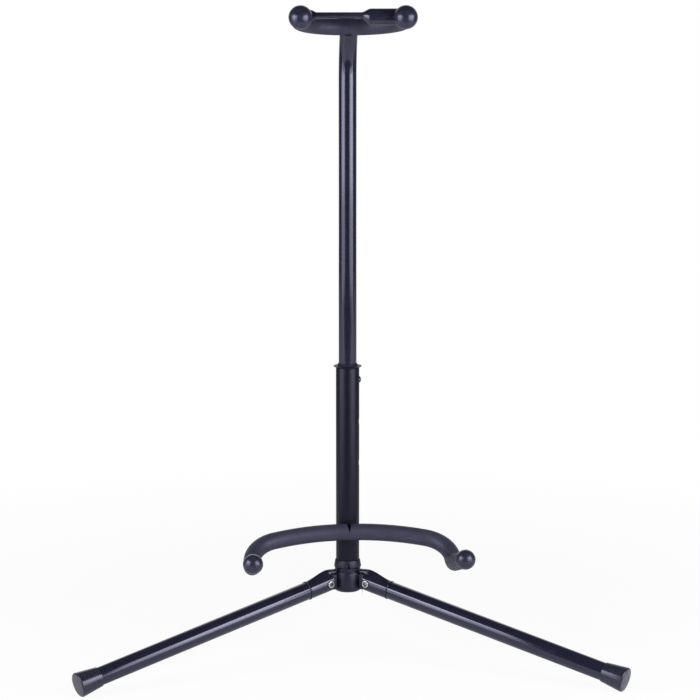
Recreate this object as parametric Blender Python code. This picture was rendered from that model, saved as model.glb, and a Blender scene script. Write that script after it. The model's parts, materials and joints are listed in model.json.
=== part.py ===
"""A folding guitar stand: three hinged legs, a telescoping mast, a padded cradle
for the instrument's body and a padded yoke with a strap for its neck.

Metres, +Z up. The origin is on the floor, in the middle of the stand's footprint.
The stand faces -Y. Left and right are as seen by someone who faces it.
"""
import math

import bmesh
import bpy
from mathutils import Matrix, Vector

# Clearances
TOUCH_GAP = 0.0003          # between pieces that touch
RUNNING_GAP = 0.0003        # around what slides or turns in a hole
SLOT_CLEARANCE = 0.0008     # between the round end of a hub lug and its slot

# Mast tubes
LOWER_TUBE_RADIUS = 0.0125
LOWER_TUBE_WALL = 0.0012
LOWER_TUBE_LENGTH = 0.2162
BUSH_WALL = 0.0012
UPPER_TUBE_WALL = 0.0012
INSERTION = 0.0685          # length of upper tube below the rim of the bush
TOP_BEND_START = 0.3023     # height of the top bend above the rim of the bush
TOP_BEND_RADIUS = 0.0750
TOP_BEND_ANGLE = math.radians(40.0)
TOP_BEND_TURN = math.radians(-1.9)  # the bend isn't quite square to the button's hole
TOP_RUN = 0.0120            # straight run from the top bend to the middle of the yoke rod
MAST_TURN = math.radians(3.4)   # the mast stands a little turned on its hub

# Stop collar, the split boot that the lower tube stops on
COLLAR_HEIGHT = 0.0080
COLLAR_FOOT_WALL = 0.0018
COLLAR_TOP_WALL = 0.0006
COLLAR_LIP = 0.0012         # thickness of the lip under the end of the tube
COLLAR_CHAMFER = 0.0008
COLLAR_SLIT_WIDTH = 0.0026  # at the foot, from where it closes to a point
COLLAR_SLIT_HEIGHT = 0.0060

# Bush in the mouth of the lower tube
BUSH_DEPTH = 0.0400         # sleeve length below the end of the tube
BUSH_RIM_PROUD = 0.0026     # rim radius beyond the tube
BUSH_RIM_RISE = 0.0016      # height of the rim above the end of the tube
BUSH_RIM_THICKNESS = 0.0007
BUSH_LIP_FOOT = 0.0016      # wall of the inner lip where it leaves the rim
BUSH_LIP_RISE = 0.0027      # height of the inner lip above the rim
BUSH_LIP_WALL = 0.0005

# Snap button and its holes
BUTTON_RADIUS = 0.0035
BUTTON_DROP = 0.0151        # below the rim of the bush
BUTTON_PROUD = 0.0019
BUTTON_CROWN = 0.0019       # height of its domed end
BUTTON_FLANGE = 0.0011      # how far the flange stands out round the stem
BUTTON_FLANGE_THICKNESS = 0.0009
HEIGHT_HOLES = 3
HEIGHT_HOLE_PITCH = 0.0450
SPRING_WIDTH = 0.0060
SPRING_THICKNESS = 0.0006
SPRING_LENGTH = 0.0400
GLIDE_FLANGE_HEIGHT = 0.0060
GLIDE_SPIGOT_LENGTH = 0.0080
GLIDE_WALL = 0.0020

# Hub
HUB_LEDGE = 0.0012          # radius of the core beyond its spigot
HUB_TOP = 0.0084            # above the leg pivots
HUB_BOTTOM = 0.0117         # below the leg pivots
HUB_BOTTOM_ROUND = 0.0020
HUB_RECESS = 0.0067         # open height between the core and the stop collar
HUB_SPIGOT_LENGTH = 0.0183  # inside the lower tube and its collar
LUG_REACH = 0.0143          # from the core to the middle of the rivet
LUG_RADIUS = 0.0082
LUG_THICKNESS = 0.0080
HUB_BOLT_RADIUS = 0.0030
HUB_BOLT_HEAD_RADIUS = 0.0050
HUB_BOLT_HEAD_HEIGHT = 0.0060
HUB_BOLT_SINK = 0.0005      # depth of the head inside its counterbore
HEX_KEY_RADIUS = 0.0029
HEX_KEY_DEPTH = 0.0035
PLUG_HEIGHT = 0.0150
PLUG_ROOF = 0.0020

# Legs
LEG_AZIMUTHS = {"left": math.radians(210.0), "right": math.radians(330.0), "rear": math.radians(90.0)}
LEG_SLOPE = math.radians(12.8)
LEG_TUBE_RADIUS = 0.0095
LEG_TUBE_WALL = 0.0012
FOOT_REACH = 0.3240         # from the mast's axis to the middle of a foot's end face

# Knuckles
KNUCKLE_NOSE = 0.0040       # from the pivot to its square inner end
KNUCKLE_TOP = 0.0142        # above the pivot
KNUCKLE_FLAT_END = -0.0020  # where its flat top begins to fall, from the pivot
KNUCKLE_LENGTH = 0.0256     # from the pivot to the tube, along the leg
KNUCKLE_PROUD = 0.00025     # beyond the tube's radius
KNUCKLE_LIP = 0.0004
KNUCKLE_LIP_LENGTH = 0.0013
KNUCKLE_SQUARENESS = 2.8    # superellipse exponent at the hub, 2 where it meets the tube
KNUCKLE_SPIGOT_LENGTH = 0.0180
KNUCKLE_SPIGOT_CHAMFER = 0.0008
RIVET_RADIUS = 0.0025
RIVET_BORE = 0.0014
RIVET_HEAD_RADIUS = 0.0045
RIVET_HEAD_THICKNESS = 0.0011
RIVET_HEAD_EDGE = 0.0005    # height of the head at its rim
RIVET_CROWN_OUTER = 0.0035  # the head's rolled crown lies between these two radii
RIVET_CROWN_INNER = 0.0022
RIVET_SEAT_DEPTH = 0.0008   # spot face on each cheek

# Foot boots
BOOT_LENGTH = 0.0250
BOOT_MOUTH_WALL = 0.0006
BOOT_END_WALL = 0.0033
BOOT_FLOOR = 0.0035
BOOT_ROUND = 0.0016
BOOT_FLAT = 0.0009          # depth of the worn flat on the floor

# Rods and their sleeves
ROD_RADIUS = 0.0040
SLEEVE_WALL = 0.0047
SLEEVE_CHAMFER = 0.0006

# Cradle
CRADLE_HEIGHT = 0.0565      # above the leg pivots
CRADLE_WELD_HALF = 0.0030   # half of the straight run at the weld
CRADLE_BACK_RADIUS = 0.2590
CRADLE_BACK_HALF = 0.0777   # half width of the gently curved back, beyond the straight run
CRADLE_CORNER_RADIUS = 0.0369
CRADLE_CORNER_END = math.radians(88.0)
CRADLE_DIP = math.radians(26.7)
CRADLE_TIP_RADIUS = 0.0208
CRADLE_TIP_RISE = math.radians(16.2)
CRADLE_TIP_LENGTH = 0.0650
CRADLE_CAP_PROUD = 0.0014   # beyond the sleeve's radius
CRADLE_NOTCH_WIDTH = 0.0048
CRADLE_NOTCH_DEPTH = 0.0080

# Neck yoke
NECK_HALF_WIDTH = 0.0532
NECK_BEND_RADIUS = 0.0500
NECK_REACH = 0.0740         # from the bar to the middle of the caps
NECK_RISE = math.radians(9.0)
NECK_CAP_PROUD = 0.0031
NECK_CAP_COLLAR = 0.0025    # radius of the cap's seat beyond the rod
STUB_RADIUS = 0.0045
TUBE_END_DROP = 0.0065      # from the middle of the yoke rod to the end of the upper tube

# Neck strap
STRAP_WALL = 0.0039         # round the rods
STRAP_LOOP_WIDTH = 0.0085
STRAP_HOOK_DEPTH = 0.0052   # of its jaws below the rod's middle
STRAP_WEB_DEPTH = 0.0068    # where it leaves its loop and its hook
STRAP_WEB_HEIGHT = 0.0096
STRAP_BARREL_RADIUS = 0.0085
STRAP_BARREL_CHAMFER = 0.0012
STRAP_BARREL_START = 0.0098  # from the right rod
STRAP_BARREL_END = 0.0361
STRAP_BARREL_LIFT = 0.0023  # above the rods
STRAP_TAPER_END = 0.0455
STRAP_BAND_HEIGHT = 0.0041
STRAP_BAND_DEPTH = 0.0100
STRAP_BAND_LIFT = 0.0041
STRAP_FLARE_LENGTH = 0.0110
STRAP_WEB_SQUARENESS = 2.4  # superellipse exponents
STRAP_BAND_SQUARENESS = 2.8

# Faces round each kind of piece
MAST_SIDES = 24
LEG_SIDES = 20
KNUCKLE_SIDES = 16
ROD_SIDES = 8
SLEEVE_SIDES = 14
CAP_SIDES = 16
SMALL_SIDES = 12
ARC_STEP = math.radians(11.0)
LONG_ARC_STEP = math.radians(6.0)
SHARP_ANGLE = math.radians(35.0)

# Sizes that follow from those above
LOWER_BORE = LOWER_TUBE_RADIUS - LOWER_TUBE_WALL
SPIGOT_RADIUS = LOWER_BORE - TOUCH_GAP
UPPER_TUBE_RADIUS = SPIGOT_RADIUS - BUSH_WALL - RUNNING_GAP
UPPER_BORE = UPPER_TUBE_RADIUS - UPPER_TUBE_WALL
COLLAR_BORE = LOWER_TUBE_RADIUS + TOUCH_GAP
COLLAR_RADIUS = COLLAR_BORE + COLLAR_FOOT_WALL
HUB_RADIUS = SPIGOT_RADIUS + HUB_LEDGE
PIVOT_RADIUS = HUB_RADIUS + LUG_REACH
KNUCKLE_RADIUS = LEG_TUBE_RADIUS + KNUCKLE_PROUD
BOOT_BORE = LEG_TUBE_RADIUS + TOUCH_GAP
BOOT_RADIUS = BOOT_BORE + BOOT_END_WALL
SLEEVE_BORE = ROD_RADIUS + TOUCH_GAP
SLEEVE_RADIUS = SLEEVE_BORE + SLEEVE_WALL
STRAP_RADIUS = ROD_RADIUS + RUNNING_GAP + STRAP_WALL

# The leg's lowest point is on its boot's rounded rim, which the floor flattens.
BOOT_DROP = ((BOOT_RADIUS - BOOT_ROUND) * math.cos(LEG_SLOPE) + BOOT_ROUND
             - BOOT_ROUND * math.sin(LEG_SLOPE))
PIVOT_HEIGHT = (BOOT_DROP - BOOT_FLAT
                + (FOOT_REACH - PIVOT_RADIUS) * math.tan(LEG_SLOPE))
LEG_LENGTH = (FOOT_REACH - PIVOT_RADIUS) / math.cos(LEG_SLOPE)

# Heights above the floor, bottom to top
COLLAR_Z = PIVOT_HEIGHT + HUB_TOP + HUB_RECESS
LOWER_TUBE_Z = COLLAR_Z + COLLAR_LIP + TOUCH_GAP
LOWER_TUBE_TOP = LOWER_TUBE_Z + LOWER_TUBE_LENGTH
RIM_Z = LOWER_TUBE_TOP + TOUCH_GAP + BUSH_RIM_RISE
BUTTON_Z = RIM_Z - BUTTON_DROP
UPPER_TUBE_Z = RIM_Z - INSERTION
CRADLE_Z = PIVOT_HEIGHT + CRADLE_HEIGHT
SPIGOT_TOP = COLLAR_Z + HUB_SPIGOT_LENGTH

X_AXIS = Vector((1.0, 0.0, 0.0))
Y_AXIS = Vector((0.0, 1.0, 0.0))
Z_AXIS = Vector((0.0, 0.0, 1.0))


def finish(name, colour, roughness, metallic=0.0):
    """Make a plain Principled material."""
    material = bpy.data.materials.new(name)
    material.use_nodes = True
    shader = material.node_tree.nodes["Principled BSDF"]
    shader.inputs["Base Color"].default_value = (*colour, 1.0)
    shader.inputs["Roughness"].default_value = roughness
    shader.inputs["Metallic"].default_value = metallic
    return material


def add_empty(name, parent=None, location=(0.0, 0.0, 0.0), rotation=(0.0, 0.0, 0.0)):
    empty = bpy.data.objects.new(name, None)
    bpy.context.scene.collection.objects.link(empty)
    empty.parent = parent
    empty.location = location
    empty.rotation_euler = rotation
    return empty


def add_piece(name, bm, parent, material=None, location=(0.0, 0.0, 0.0), rotation=(0.0, 0.0, 0.0)):
    """Turn a bmesh into an object under its parent."""
    bmesh.ops.recalc_face_normals(bm, faces=bm.faces)
    mesh = bpy.data.meshes.new(name)
    bm.to_mesh(mesh)
    bm.free()
    mesh.shade_smooth()
    mesh.set_sharp_from_angle(angle=SHARP_ANGLE)
    if material:
        mesh.materials.append(material)
    piece = bpy.data.objects.new(name, mesh)
    bpy.context.scene.collection.objects.link(piece)
    piece.parent = parent
    piece.location = location
    piece.rotation_euler = rotation
    return piece


def shape_by(piece, tool, operation="DIFFERENCE"):
    """Cut a piece by a tool, or join the tool to it, with a Boolean modifier."""
    modifier = piece.modifiers.new(tool.name, "BOOLEAN")
    modifier.operation = operation
    modifier.solver = "EXACT"
    modifier.object = tool
    tool.hide_render = True
    tool.display_type = "WIRE"


def turned(profile, sides):
    """Spin (radius, height) points once about local Z. A profile that stays off the axis is closed."""
    bm = bmesh.new()
    verts = [bm.verts.new((radius, 0.0, height)) for radius, height in profile]
    edges = [bm.edges.new(pair) for pair in zip(verts, verts[1:])]
    if profile[0][0] > 0.0:
        edges.append(bm.edges.new((verts[-1], verts[0])))
    bmesh.ops.spin(bm, geom=verts + edges, cent=(0.0, 0.0, 0.0), axis=Z_AXIS,
                   steps=sides, angle=2.0 * math.pi)
    bmesh.ops.remove_doubles(bm, verts=bm.verts, dist=1e-6)
    return bm


def prism(outline, half_depth):
    """Extrude an outline of (x, z) points to both sides of the plane y = 0."""
    bm = bmesh.new()
    face = bm.faces.new([bm.verts.new((x, -half_depth, z)) for x, z in outline])
    sides = bmesh.ops.extrude_face_region(bm, geom=[face])
    moved = [item for item in sides["geom"] if isinstance(item, bmesh.types.BMVert)]
    bmesh.ops.translate(bm, verts=moved, vec=(0.0, 2.0 * half_depth, 0.0))
    return bm


def cylinder(radius, start, end, sides):
    """A plain bar from start to end, for holes and joined bosses."""
    bm = bmesh.new()
    run = Vector(end) - Vector(start)
    turn = run.to_track_quat("Z", "Y").to_matrix().to_4x4()
    middle = Matrix.Translation((Vector(start) + Vector(end)) / 2.0)
    bmesh.ops.create_cone(bm, cap_ends=True, segments=sides, radius1=radius, radius2=radius,
                          depth=run.length, matrix=middle @ turn)
    return bm


def skin(rings, bored=False):
    """Skin rings of points. A bored piece's last ring meets its first, others get flat ends."""
    bm = bmesh.new()
    loops = [[bm.verts.new(point) for point in ring] for ring in rings]
    pairs = list(zip(loops, loops[1:]))
    if bored:
        pairs.append((loops[-1], loops[0]))
    else:
        bm.faces.new(loops[0])
        bm.faces.new(loops[-1])
    for near, far in pairs:
        for k in range(len(near)):
            after = (k + 1) % len(near)
            bm.faces.new((near[k], near[after], far[after], far[k]))
    return bm


class Route:
    """The centreline of a bent tube or rod, laid out in straight runs and arcs."""

    def __init__(self, start, heading):
        self.points = [Vector(start)]
        self.heading = Vector(heading).normalized()

    def run(self, length):
        self.points.append(self.points[-1] + self.heading * length)
        return self

    def bend(self, radius, angle, axis, step=ARC_STEP):
        axis = Vector(axis).normalized()
        start = self.points[-1]
        centre = start + axis.cross(self.heading) * radius
        count = max(2, math.ceil(abs(angle) / step))
        for k in range(1, count + 1):
            turn = Matrix.Rotation(angle * k / count, 3, axis)
            self.points.append(centre + turn @ (start - centre))
        self.heading = Matrix.Rotation(angle, 3, axis) @ self.heading
        return self


def mirrored(points):
    return [Vector((-p.x, p.y, p.z)) for p in points]


def rings_along(points, radii, sides, side_hint):
    """Rings square to a route, kept from twisting. radii is one radius, or one for each point."""
    if not isinstance(radii, (list, tuple)):
        radii = [radii] * len(points)
    side = Vector(side_hint)
    rings = []
    for k, point in enumerate(points):
        before = points[max(k - 1, 0)]
        after = points[min(k + 1, len(points) - 1)]
        along = ((point - before).normalized() + (after - point).normalized()).normalized()
        side = (side - along * side.dot(along)).normalized()
        up = along.cross(side)
        angles = [2.0 * math.pi * n / sides for n in range(sides)]
        rings.append([point + (side * math.cos(a) + up * math.sin(a)) * radii[k] for a in angles])
    return rings


def pipe(points, radii, bore, sides, side_hint):
    """A tube or sleeve along a route, with square ends."""
    outside = rings_along(points, radii, sides, side_hint)
    inside = rings_along(points, bore, sides, side_hint)
    return skin(outside + inside[::-1], bored=True)


def trimmed(points, length):
    """Drop a length from the end of a route."""
    kept = list(points)
    while (kept[-1] - kept[-2]).length <= length:
        length -= (kept[-1] - kept[-2]).length
        kept.pop()
    last = kept[-1] - kept[-2]
    kept[-1] = kept[-2] + last.normalized() * (last.length - length)
    return kept


def arc(centre, radius, start, end, count):
    """(x, z) points on an arc, both ends included. Angles are in radians."""
    angles = [start + (end - start) * k / count for k in range(count + 1)]
    return [(centre[0] + radius * math.cos(a), centre[1] + radius * math.sin(a)) for a in angles]


def superellipse(exponent, sides):
    """(across, upward) points of a unit superellipse, rounder as its exponent nears 2."""
    points = []
    for k in range(sides):
        angle = 2.0 * math.pi * k / sides
        across, upward = math.cos(angle), math.sin(angle)
        points.append((math.copysign(abs(across) ** (2.0 / exponent), across),
                       math.copysign(abs(upward) ** (2.0 / exponent), upward)))
    return points


def upright_ring(top, bottom, half_width, exponent, sides):
    """A section between a top and a bottom point of the x-z plane."""
    middle = (top + bottom) / 2.0
    half = (top - bottom) / 2.0
    return [middle + half * upward + Y_AXIS * half_width * across
            for across, upward in superellipse(exponent, sides)]


def chord_reach(radius, half_width, sides):
    """How far out a flat of this half width fits inside a faceted bore."""
    return math.sqrt((radius * math.cos(math.pi / sides)) ** 2 - half_width ** 2)


def make_finishes():
    return {
        "gloss_paint": finish("gloss_paint", (0.035, 0.033, 0.050), 0.22),
        "satin_paint": finish("satin_paint", (0.045, 0.043, 0.060), 0.42),
        "cast_paint": finish("cast_paint", (0.050, 0.048, 0.065), 0.45),
        "plastic": finish("plastic", (0.030, 0.029, 0.040), 0.35),
        "sleeve": finish("sleeve", (0.045, 0.043, 0.058), 0.70),
        "rubber": finish("rubber", (0.035, 0.034, 0.045), 0.45),
        "bright_steel": finish("bright_steel", (0.75, 0.75, 0.77), 0.15, 1.0),
        "zinc_steel": finish("zinc_steel", (0.55, 0.55, 0.56), 0.35, 1.0),
        "spring_steel": finish("spring_steel", (0.35, 0.35, 0.36), 0.30, 1.0),
    }


def make_hub(stand, finishes):
    """The core, its three lugs and its spigot, bored for the bolt and the rivets."""
    core = HUB_RADIUS
    bottom = -HUB_BOTTOM
    seat = HUB_BOLT_HEAD_RADIUS + RUNNING_GAP
    bore = HUB_BOLT_RADIUS + RUNNING_GAP
    seat_top = bottom + HUB_BOLT_SINK + HUB_BOLT_HEAD_HEIGHT + TOUCH_GAP
    spigot_top = SPIGOT_TOP - PIVOT_HEIGHT
    rounded = arc((core - HUB_BOTTOM_ROUND, bottom + HUB_BOTTOM_ROUND), HUB_BOTTOM_ROUND,
                  -math.pi / 2.0, 0.0, 3)
    profile = [(seat, bottom)] + rounded + [
        (core, HUB_TOP - HUB_LEDGE), (SPIGOT_RADIUS, HUB_TOP), (SPIGOT_RADIUS, spigot_top),
        (bore, spigot_top), (bore, seat_top), (seat, seat_top)]
    origin = (0.0, 0.0, PIVOT_HEIGHT)
    hub = add_piece("hub", turned(profile, MAST_SIDES), stand, finishes["cast_paint"], origin)
    root = (seat + core) / 2.0
    outline = [(root, -LUG_RADIUS)]
    outline += arc((PIVOT_RADIUS, 0.0), LUG_RADIUS, -math.pi / 2.0, math.pi / 2.0, 8)
    outline += [(root, LUG_RADIUS)]
    for name, azimuth in LEG_AZIMUTHS.items():
        turn = (0.0, 0.0, azimuth)
        lug = add_piece("lug_form_" + name, prism(outline, LUG_THICKNESS / 2.0), stand, None, origin, turn)
        shape_by(hub, lug, "UNION")
        half = LUG_THICKNESS
        hole = cylinder(RIVET_RADIUS + RUNNING_GAP, (PIVOT_RADIUS, -half, 0.0),
                        (PIVOT_RADIUS, half, 0.0), SMALL_SIDES)
        shape_by(hub, add_piece("lug_hole_" + name, hole, stand, None, origin, turn))
    return hub


def make_hub_bolt(stand, finishes):
    """Socket-head bolt that pulls the mast down on the hub."""
    top = SPIGOT_TOP - PIVOT_HEIGHT + PLUG_HEIGHT - PLUG_ROOF
    head = -HUB_BOTTOM + HUB_BOLT_SINK
    profile = [(0.0, head), (HUB_BOLT_HEAD_RADIUS, head),
               (HUB_BOLT_HEAD_RADIUS, head + HUB_BOLT_HEAD_HEIGHT),
               (HUB_BOLT_RADIUS, head + HUB_BOLT_HEAD_HEIGHT), (HUB_BOLT_RADIUS, top), (0.0, top)]
    origin = (0.0, 0.0, PIVOT_HEIGHT)
    bolt = add_piece("hub_bolt", turned(profile, SMALL_SIDES), stand, finishes["zinc_steel"], origin)
    key = cylinder(HEX_KEY_RADIUS, (0.0, 0.0, head - HEX_KEY_DEPTH), (0.0, 0.0, head + HEX_KEY_DEPTH), 6)
    shape_by(bolt, add_piece("key_hole", key, stand, None, origin))


def make_mast_plug(mast, finishes):
    """Threaded plug pressed into the lower tube, on top of the hub's spigot."""
    base = SPIGOT_TOP + TOUCH_GAP
    bore = HUB_BOLT_RADIUS + TOUCH_GAP
    roof = base + PLUG_HEIGHT - PLUG_ROOF
    top = base + PLUG_HEIGHT
    profile = [(0.0, roof), (bore, roof), (bore, base), (SPIGOT_RADIUS, base), (SPIGOT_RADIUS, top), (0.0, top)]
    add_piece("mast_plug", turned(profile, MAST_SIDES), mast, finishes["zinc_steel"])


def make_stop_collar(mast, finishes):
    """Conical boot on the foot of the tube, which stands on its inner lip. It is slit in front."""
    foot = COLLAR_Z
    top = foot + COLLAR_HEIGHT
    lip_bore = SPIGOT_RADIUS + TOUCH_GAP
    profile = [(lip_bore, foot), (COLLAR_RADIUS - COLLAR_CHAMFER, foot),
               (COLLAR_RADIUS, foot + COLLAR_CHAMFER), (COLLAR_BORE + COLLAR_TOP_WALL, top),
               (COLLAR_BORE, top), (COLLAR_BORE, foot + COLLAR_LIP), (lip_bore, foot + COLLAR_LIP)]
    collar = add_piece("stop_collar", turned(profile, MAST_SIDES), mast, finishes["plastic"])
    half = COLLAR_SLIT_WIDTH / 2.0
    outline = [(-half, -COLLAR_LIP), (half, -COLLAR_LIP), (half, 0.0), (0.0, COLLAR_SLIT_HEIGHT), (-half, 0.0)]
    reach = COLLAR_RADIUS / 2.0
    slit = prism(outline, reach)
    shape_by(collar, add_piece("slit_form", slit, mast, None, (0.0, -reach - SPIGOT_RADIUS / 2.0, foot)))


def hole_bars(radius, heights, reach):
    """Bars along +X from the mast's axis, for the button's holes."""
    bm = bmesh.new()
    for height in heights:
        bar = cylinder(radius, (0.0, 0.0, height), (reach, 0.0, height), SMALL_SIDES)
        joined = bpy.data.meshes.new("bar")
        bar.to_mesh(joined)
        bar.free()
        bm.from_mesh(joined)
        bpy.data.meshes.remove(joined)
    return bm


def make_lower_tube(mast, finishes):
    points = [Vector((0.0, 0.0, LOWER_TUBE_Z)), Vector((0.0, 0.0, LOWER_TUBE_TOP))]
    bm = pipe(points, LOWER_TUBE_RADIUS, LOWER_BORE, MAST_SIDES, X_AXIS)
    tube = add_piece("lower_tube", bm, mast, finishes["satin_paint"])
    heights = [BUTTON_Z - HEIGHT_HOLE_PITCH * k for k in range(HEIGHT_HOLES)]
    holes = hole_bars(BUTTON_RADIUS + 2.0 * RUNNING_GAP, heights, 2.0 * LOWER_TUBE_RADIUS)
    shape_by(tube, add_piece("height_holes", holes, mast))


def make_mast_bush(mast, finishes):
    """Sleeve in the mouth of the lower tube, with a thin flared rim and a lip round the upper tube."""
    seat = LOWER_TUBE_TOP + TOUCH_GAP
    foot = LOWER_TUBE_TOP - BUSH_DEPTH
    bore = UPPER_TUBE_RADIUS + RUNNING_GAP
    rim = LOWER_TUBE_RADIUS + BUSH_RIM_PROUD
    lip_top = RIM_Z + BUSH_LIP_RISE
    profile = [(bore, foot), (SPIGOT_RADIUS, foot), (SPIGOT_RADIUS, seat), (LOWER_TUBE_RADIUS, seat),
               (rim, RIM_Z - BUSH_RIM_THICKNESS), (rim, RIM_Z), (bore + BUSH_LIP_FOOT, RIM_Z),
               (bore + BUSH_LIP_WALL, lip_top), (bore, lip_top)]
    bush = add_piece("mast_bush", turned(profile, MAST_SIDES), mast, finishes["plastic"])
    hole = hole_bars(BUTTON_RADIUS + 2.0 * RUNNING_GAP, [BUTTON_Z], 2.0 * LOWER_TUBE_RADIUS)
    shape_by(bush, add_piece("bush_hole", hole, mast))


def upper_route():
    """Straight up the mast, bent forward, and on to the middle of the yoke rod."""
    route = Route((0.0, 0.0, UPPER_TUBE_Z), Z_AXIS)
    route.run(RIM_Z + TOP_BEND_START - UPPER_TUBE_Z)
    route.bend(TOP_BEND_RADIUS, TOP_BEND_ANGLE, X_AXIS, LONG_ARC_STEP)
    return route.run(TOP_RUN)


def make_upper_tube(mast, upper, finishes):
    points = trimmed(upper_route().points, TUBE_END_DROP)
    bm = pipe(points, UPPER_TUBE_RADIUS, UPPER_BORE, MAST_SIDES, X_AXIS)
    tube = add_piece("upper_tube", bm, upper, finishes["gloss_paint"])
    hole = hole_bars(BUTTON_RADIUS + RUNNING_GAP, [BUTTON_Z], 2.0 * LOWER_TUBE_RADIUS)
    shape_by(tube, add_piece("button_hole", hole, mast))


def make_glide_plug(mast, finishes):
    """Plug in the foot of the upper tube, whose flange runs in the lower tube."""
    end = UPPER_TUBE_Z - TOUCH_GAP
    foot = end - GLIDE_FLANGE_HEIGHT
    spigot = UPPER_BORE - TOUCH_GAP
    flange = LOWER_BORE - RUNNING_GAP
    bore = spigot - GLIDE_WALL
    top = end + GLIDE_SPIGOT_LENGTH
    profile = [(bore, foot), (flange, foot), (flange, end), (spigot, end), (spigot, top), (bore, top)]
    add_piece("glide_plug", turned(profile, MAST_SIDES), mast, finishes["plastic"])


def button_flange():
    """Radius of the button's flange, and the inner and outer face of it along X."""
    radius = BUTTON_RADIUS + BUTTON_FLANGE
    outer = chord_reach(UPPER_BORE, radius, MAST_SIDES) - TOUCH_GAP
    return radius, outer - BUTTON_FLANGE_THICKNESS, outer


def make_snap_button(button_axis, finishes):
    """Domed stem through both tubes, with a flange inside the upper one."""
    radius, inner, outer = button_flange()
    tip = LOWER_TUBE_RADIUS + BUTTON_PROUD
    crown = [(BUTTON_RADIUS * math.cos(a), tip - BUTTON_CROWN * (1.0 - math.sin(a)))
             for a in [math.pi / 2.0 * k / 4.0 for k in range(4)]]
    profile = [(0.0, inner), (radius, inner), (radius, outer), (BUTTON_RADIUS, outer)]
    profile += crown + [(0.0, tip)]
    add_piece("snap_button", turned(profile, SMALL_SIDES), button_axis, finishes["bright_steel"],
              rotation=(0.0, math.pi / 2.0, 0.0))


def make_button_spring(mast, finishes):
    """Folded leaf spring: one leg behind the button, the other on the far wall of the tube."""
    front = button_flange()[1] - TOUCH_GAP
    back = -(chord_reach(UPPER_BORE, SPRING_WIDTH / 2.0, MAST_SIDES) - TOUCH_GAP)
    top = BUTTON_Z + BUTTON_RADIUS
    middle = (front + back) / 2.0
    radius = (front - back) / 2.0
    foot = top - SPRING_LENGTH + radius
    inner = radius - SPRING_THICKNESS
    outline = [(front, top)] + arc((middle, foot), radius, 0.0, -math.pi, 10) + [(back, top)]
    outline += [(back + SPRING_THICKNESS, top)] + arc((middle, foot), inner, -math.pi, 0.0, 10)
    outline += [(front - SPRING_THICKNESS, top)]
    add_piece("button_spring", prism(outline, SPRING_WIDTH / 2.0), mast, finishes["spring_steel"])


def knuckle_sections(along, square):
    """Top and bottom points of the knuckle's sections, from the hub to the tube, with their roundness.

    along and square are the leg's direction and the one at right angles to it, upwards.
    """
    end = along * (KNUCKLE_LENGTH - KNUCKLE_LIP_LENGTH)
    end_top = end + square * KNUCKLE_RADIUS
    end_bottom = end - square * KNUCKLE_RADIUS
    heel = end_bottom - along * ((end_bottom.x + KNUCKLE_NOSE) / along.x)
    fall = end_top.x - KNUCKLE_FLAT_END

    def top_at(x):
        t = max(0.0, (x - KNUCKLE_FLAT_END) / fall)
        start = KNUCKLE_TOP * (2.0 * t ** 3 - 3.0 * t ** 2 + 1.0)
        finish_height = end_top.z * (3.0 * t ** 2 - 2.0 * t ** 3)
        finish_slope = -math.tan(LEG_SLOPE) * fall * (t ** 3 - t ** 2)
        return start + finish_height + finish_slope

    sections = []
    steps = 6
    for k in range(steps + 1):
        share = k / steps
        bottom = heel.lerp(end_bottom, share)
        x = bottom.x + (end_top.x - end_bottom.x) * share
        ease = share * share * (3.0 - 2.0 * share)
        exponent = KNUCKLE_SQUARENESS + (2.0 - KNUCKLE_SQUARENESS) * ease
        sections.append((Vector((x, 0.0, top_at(x))), bottom, exponent))
    return sections


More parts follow.
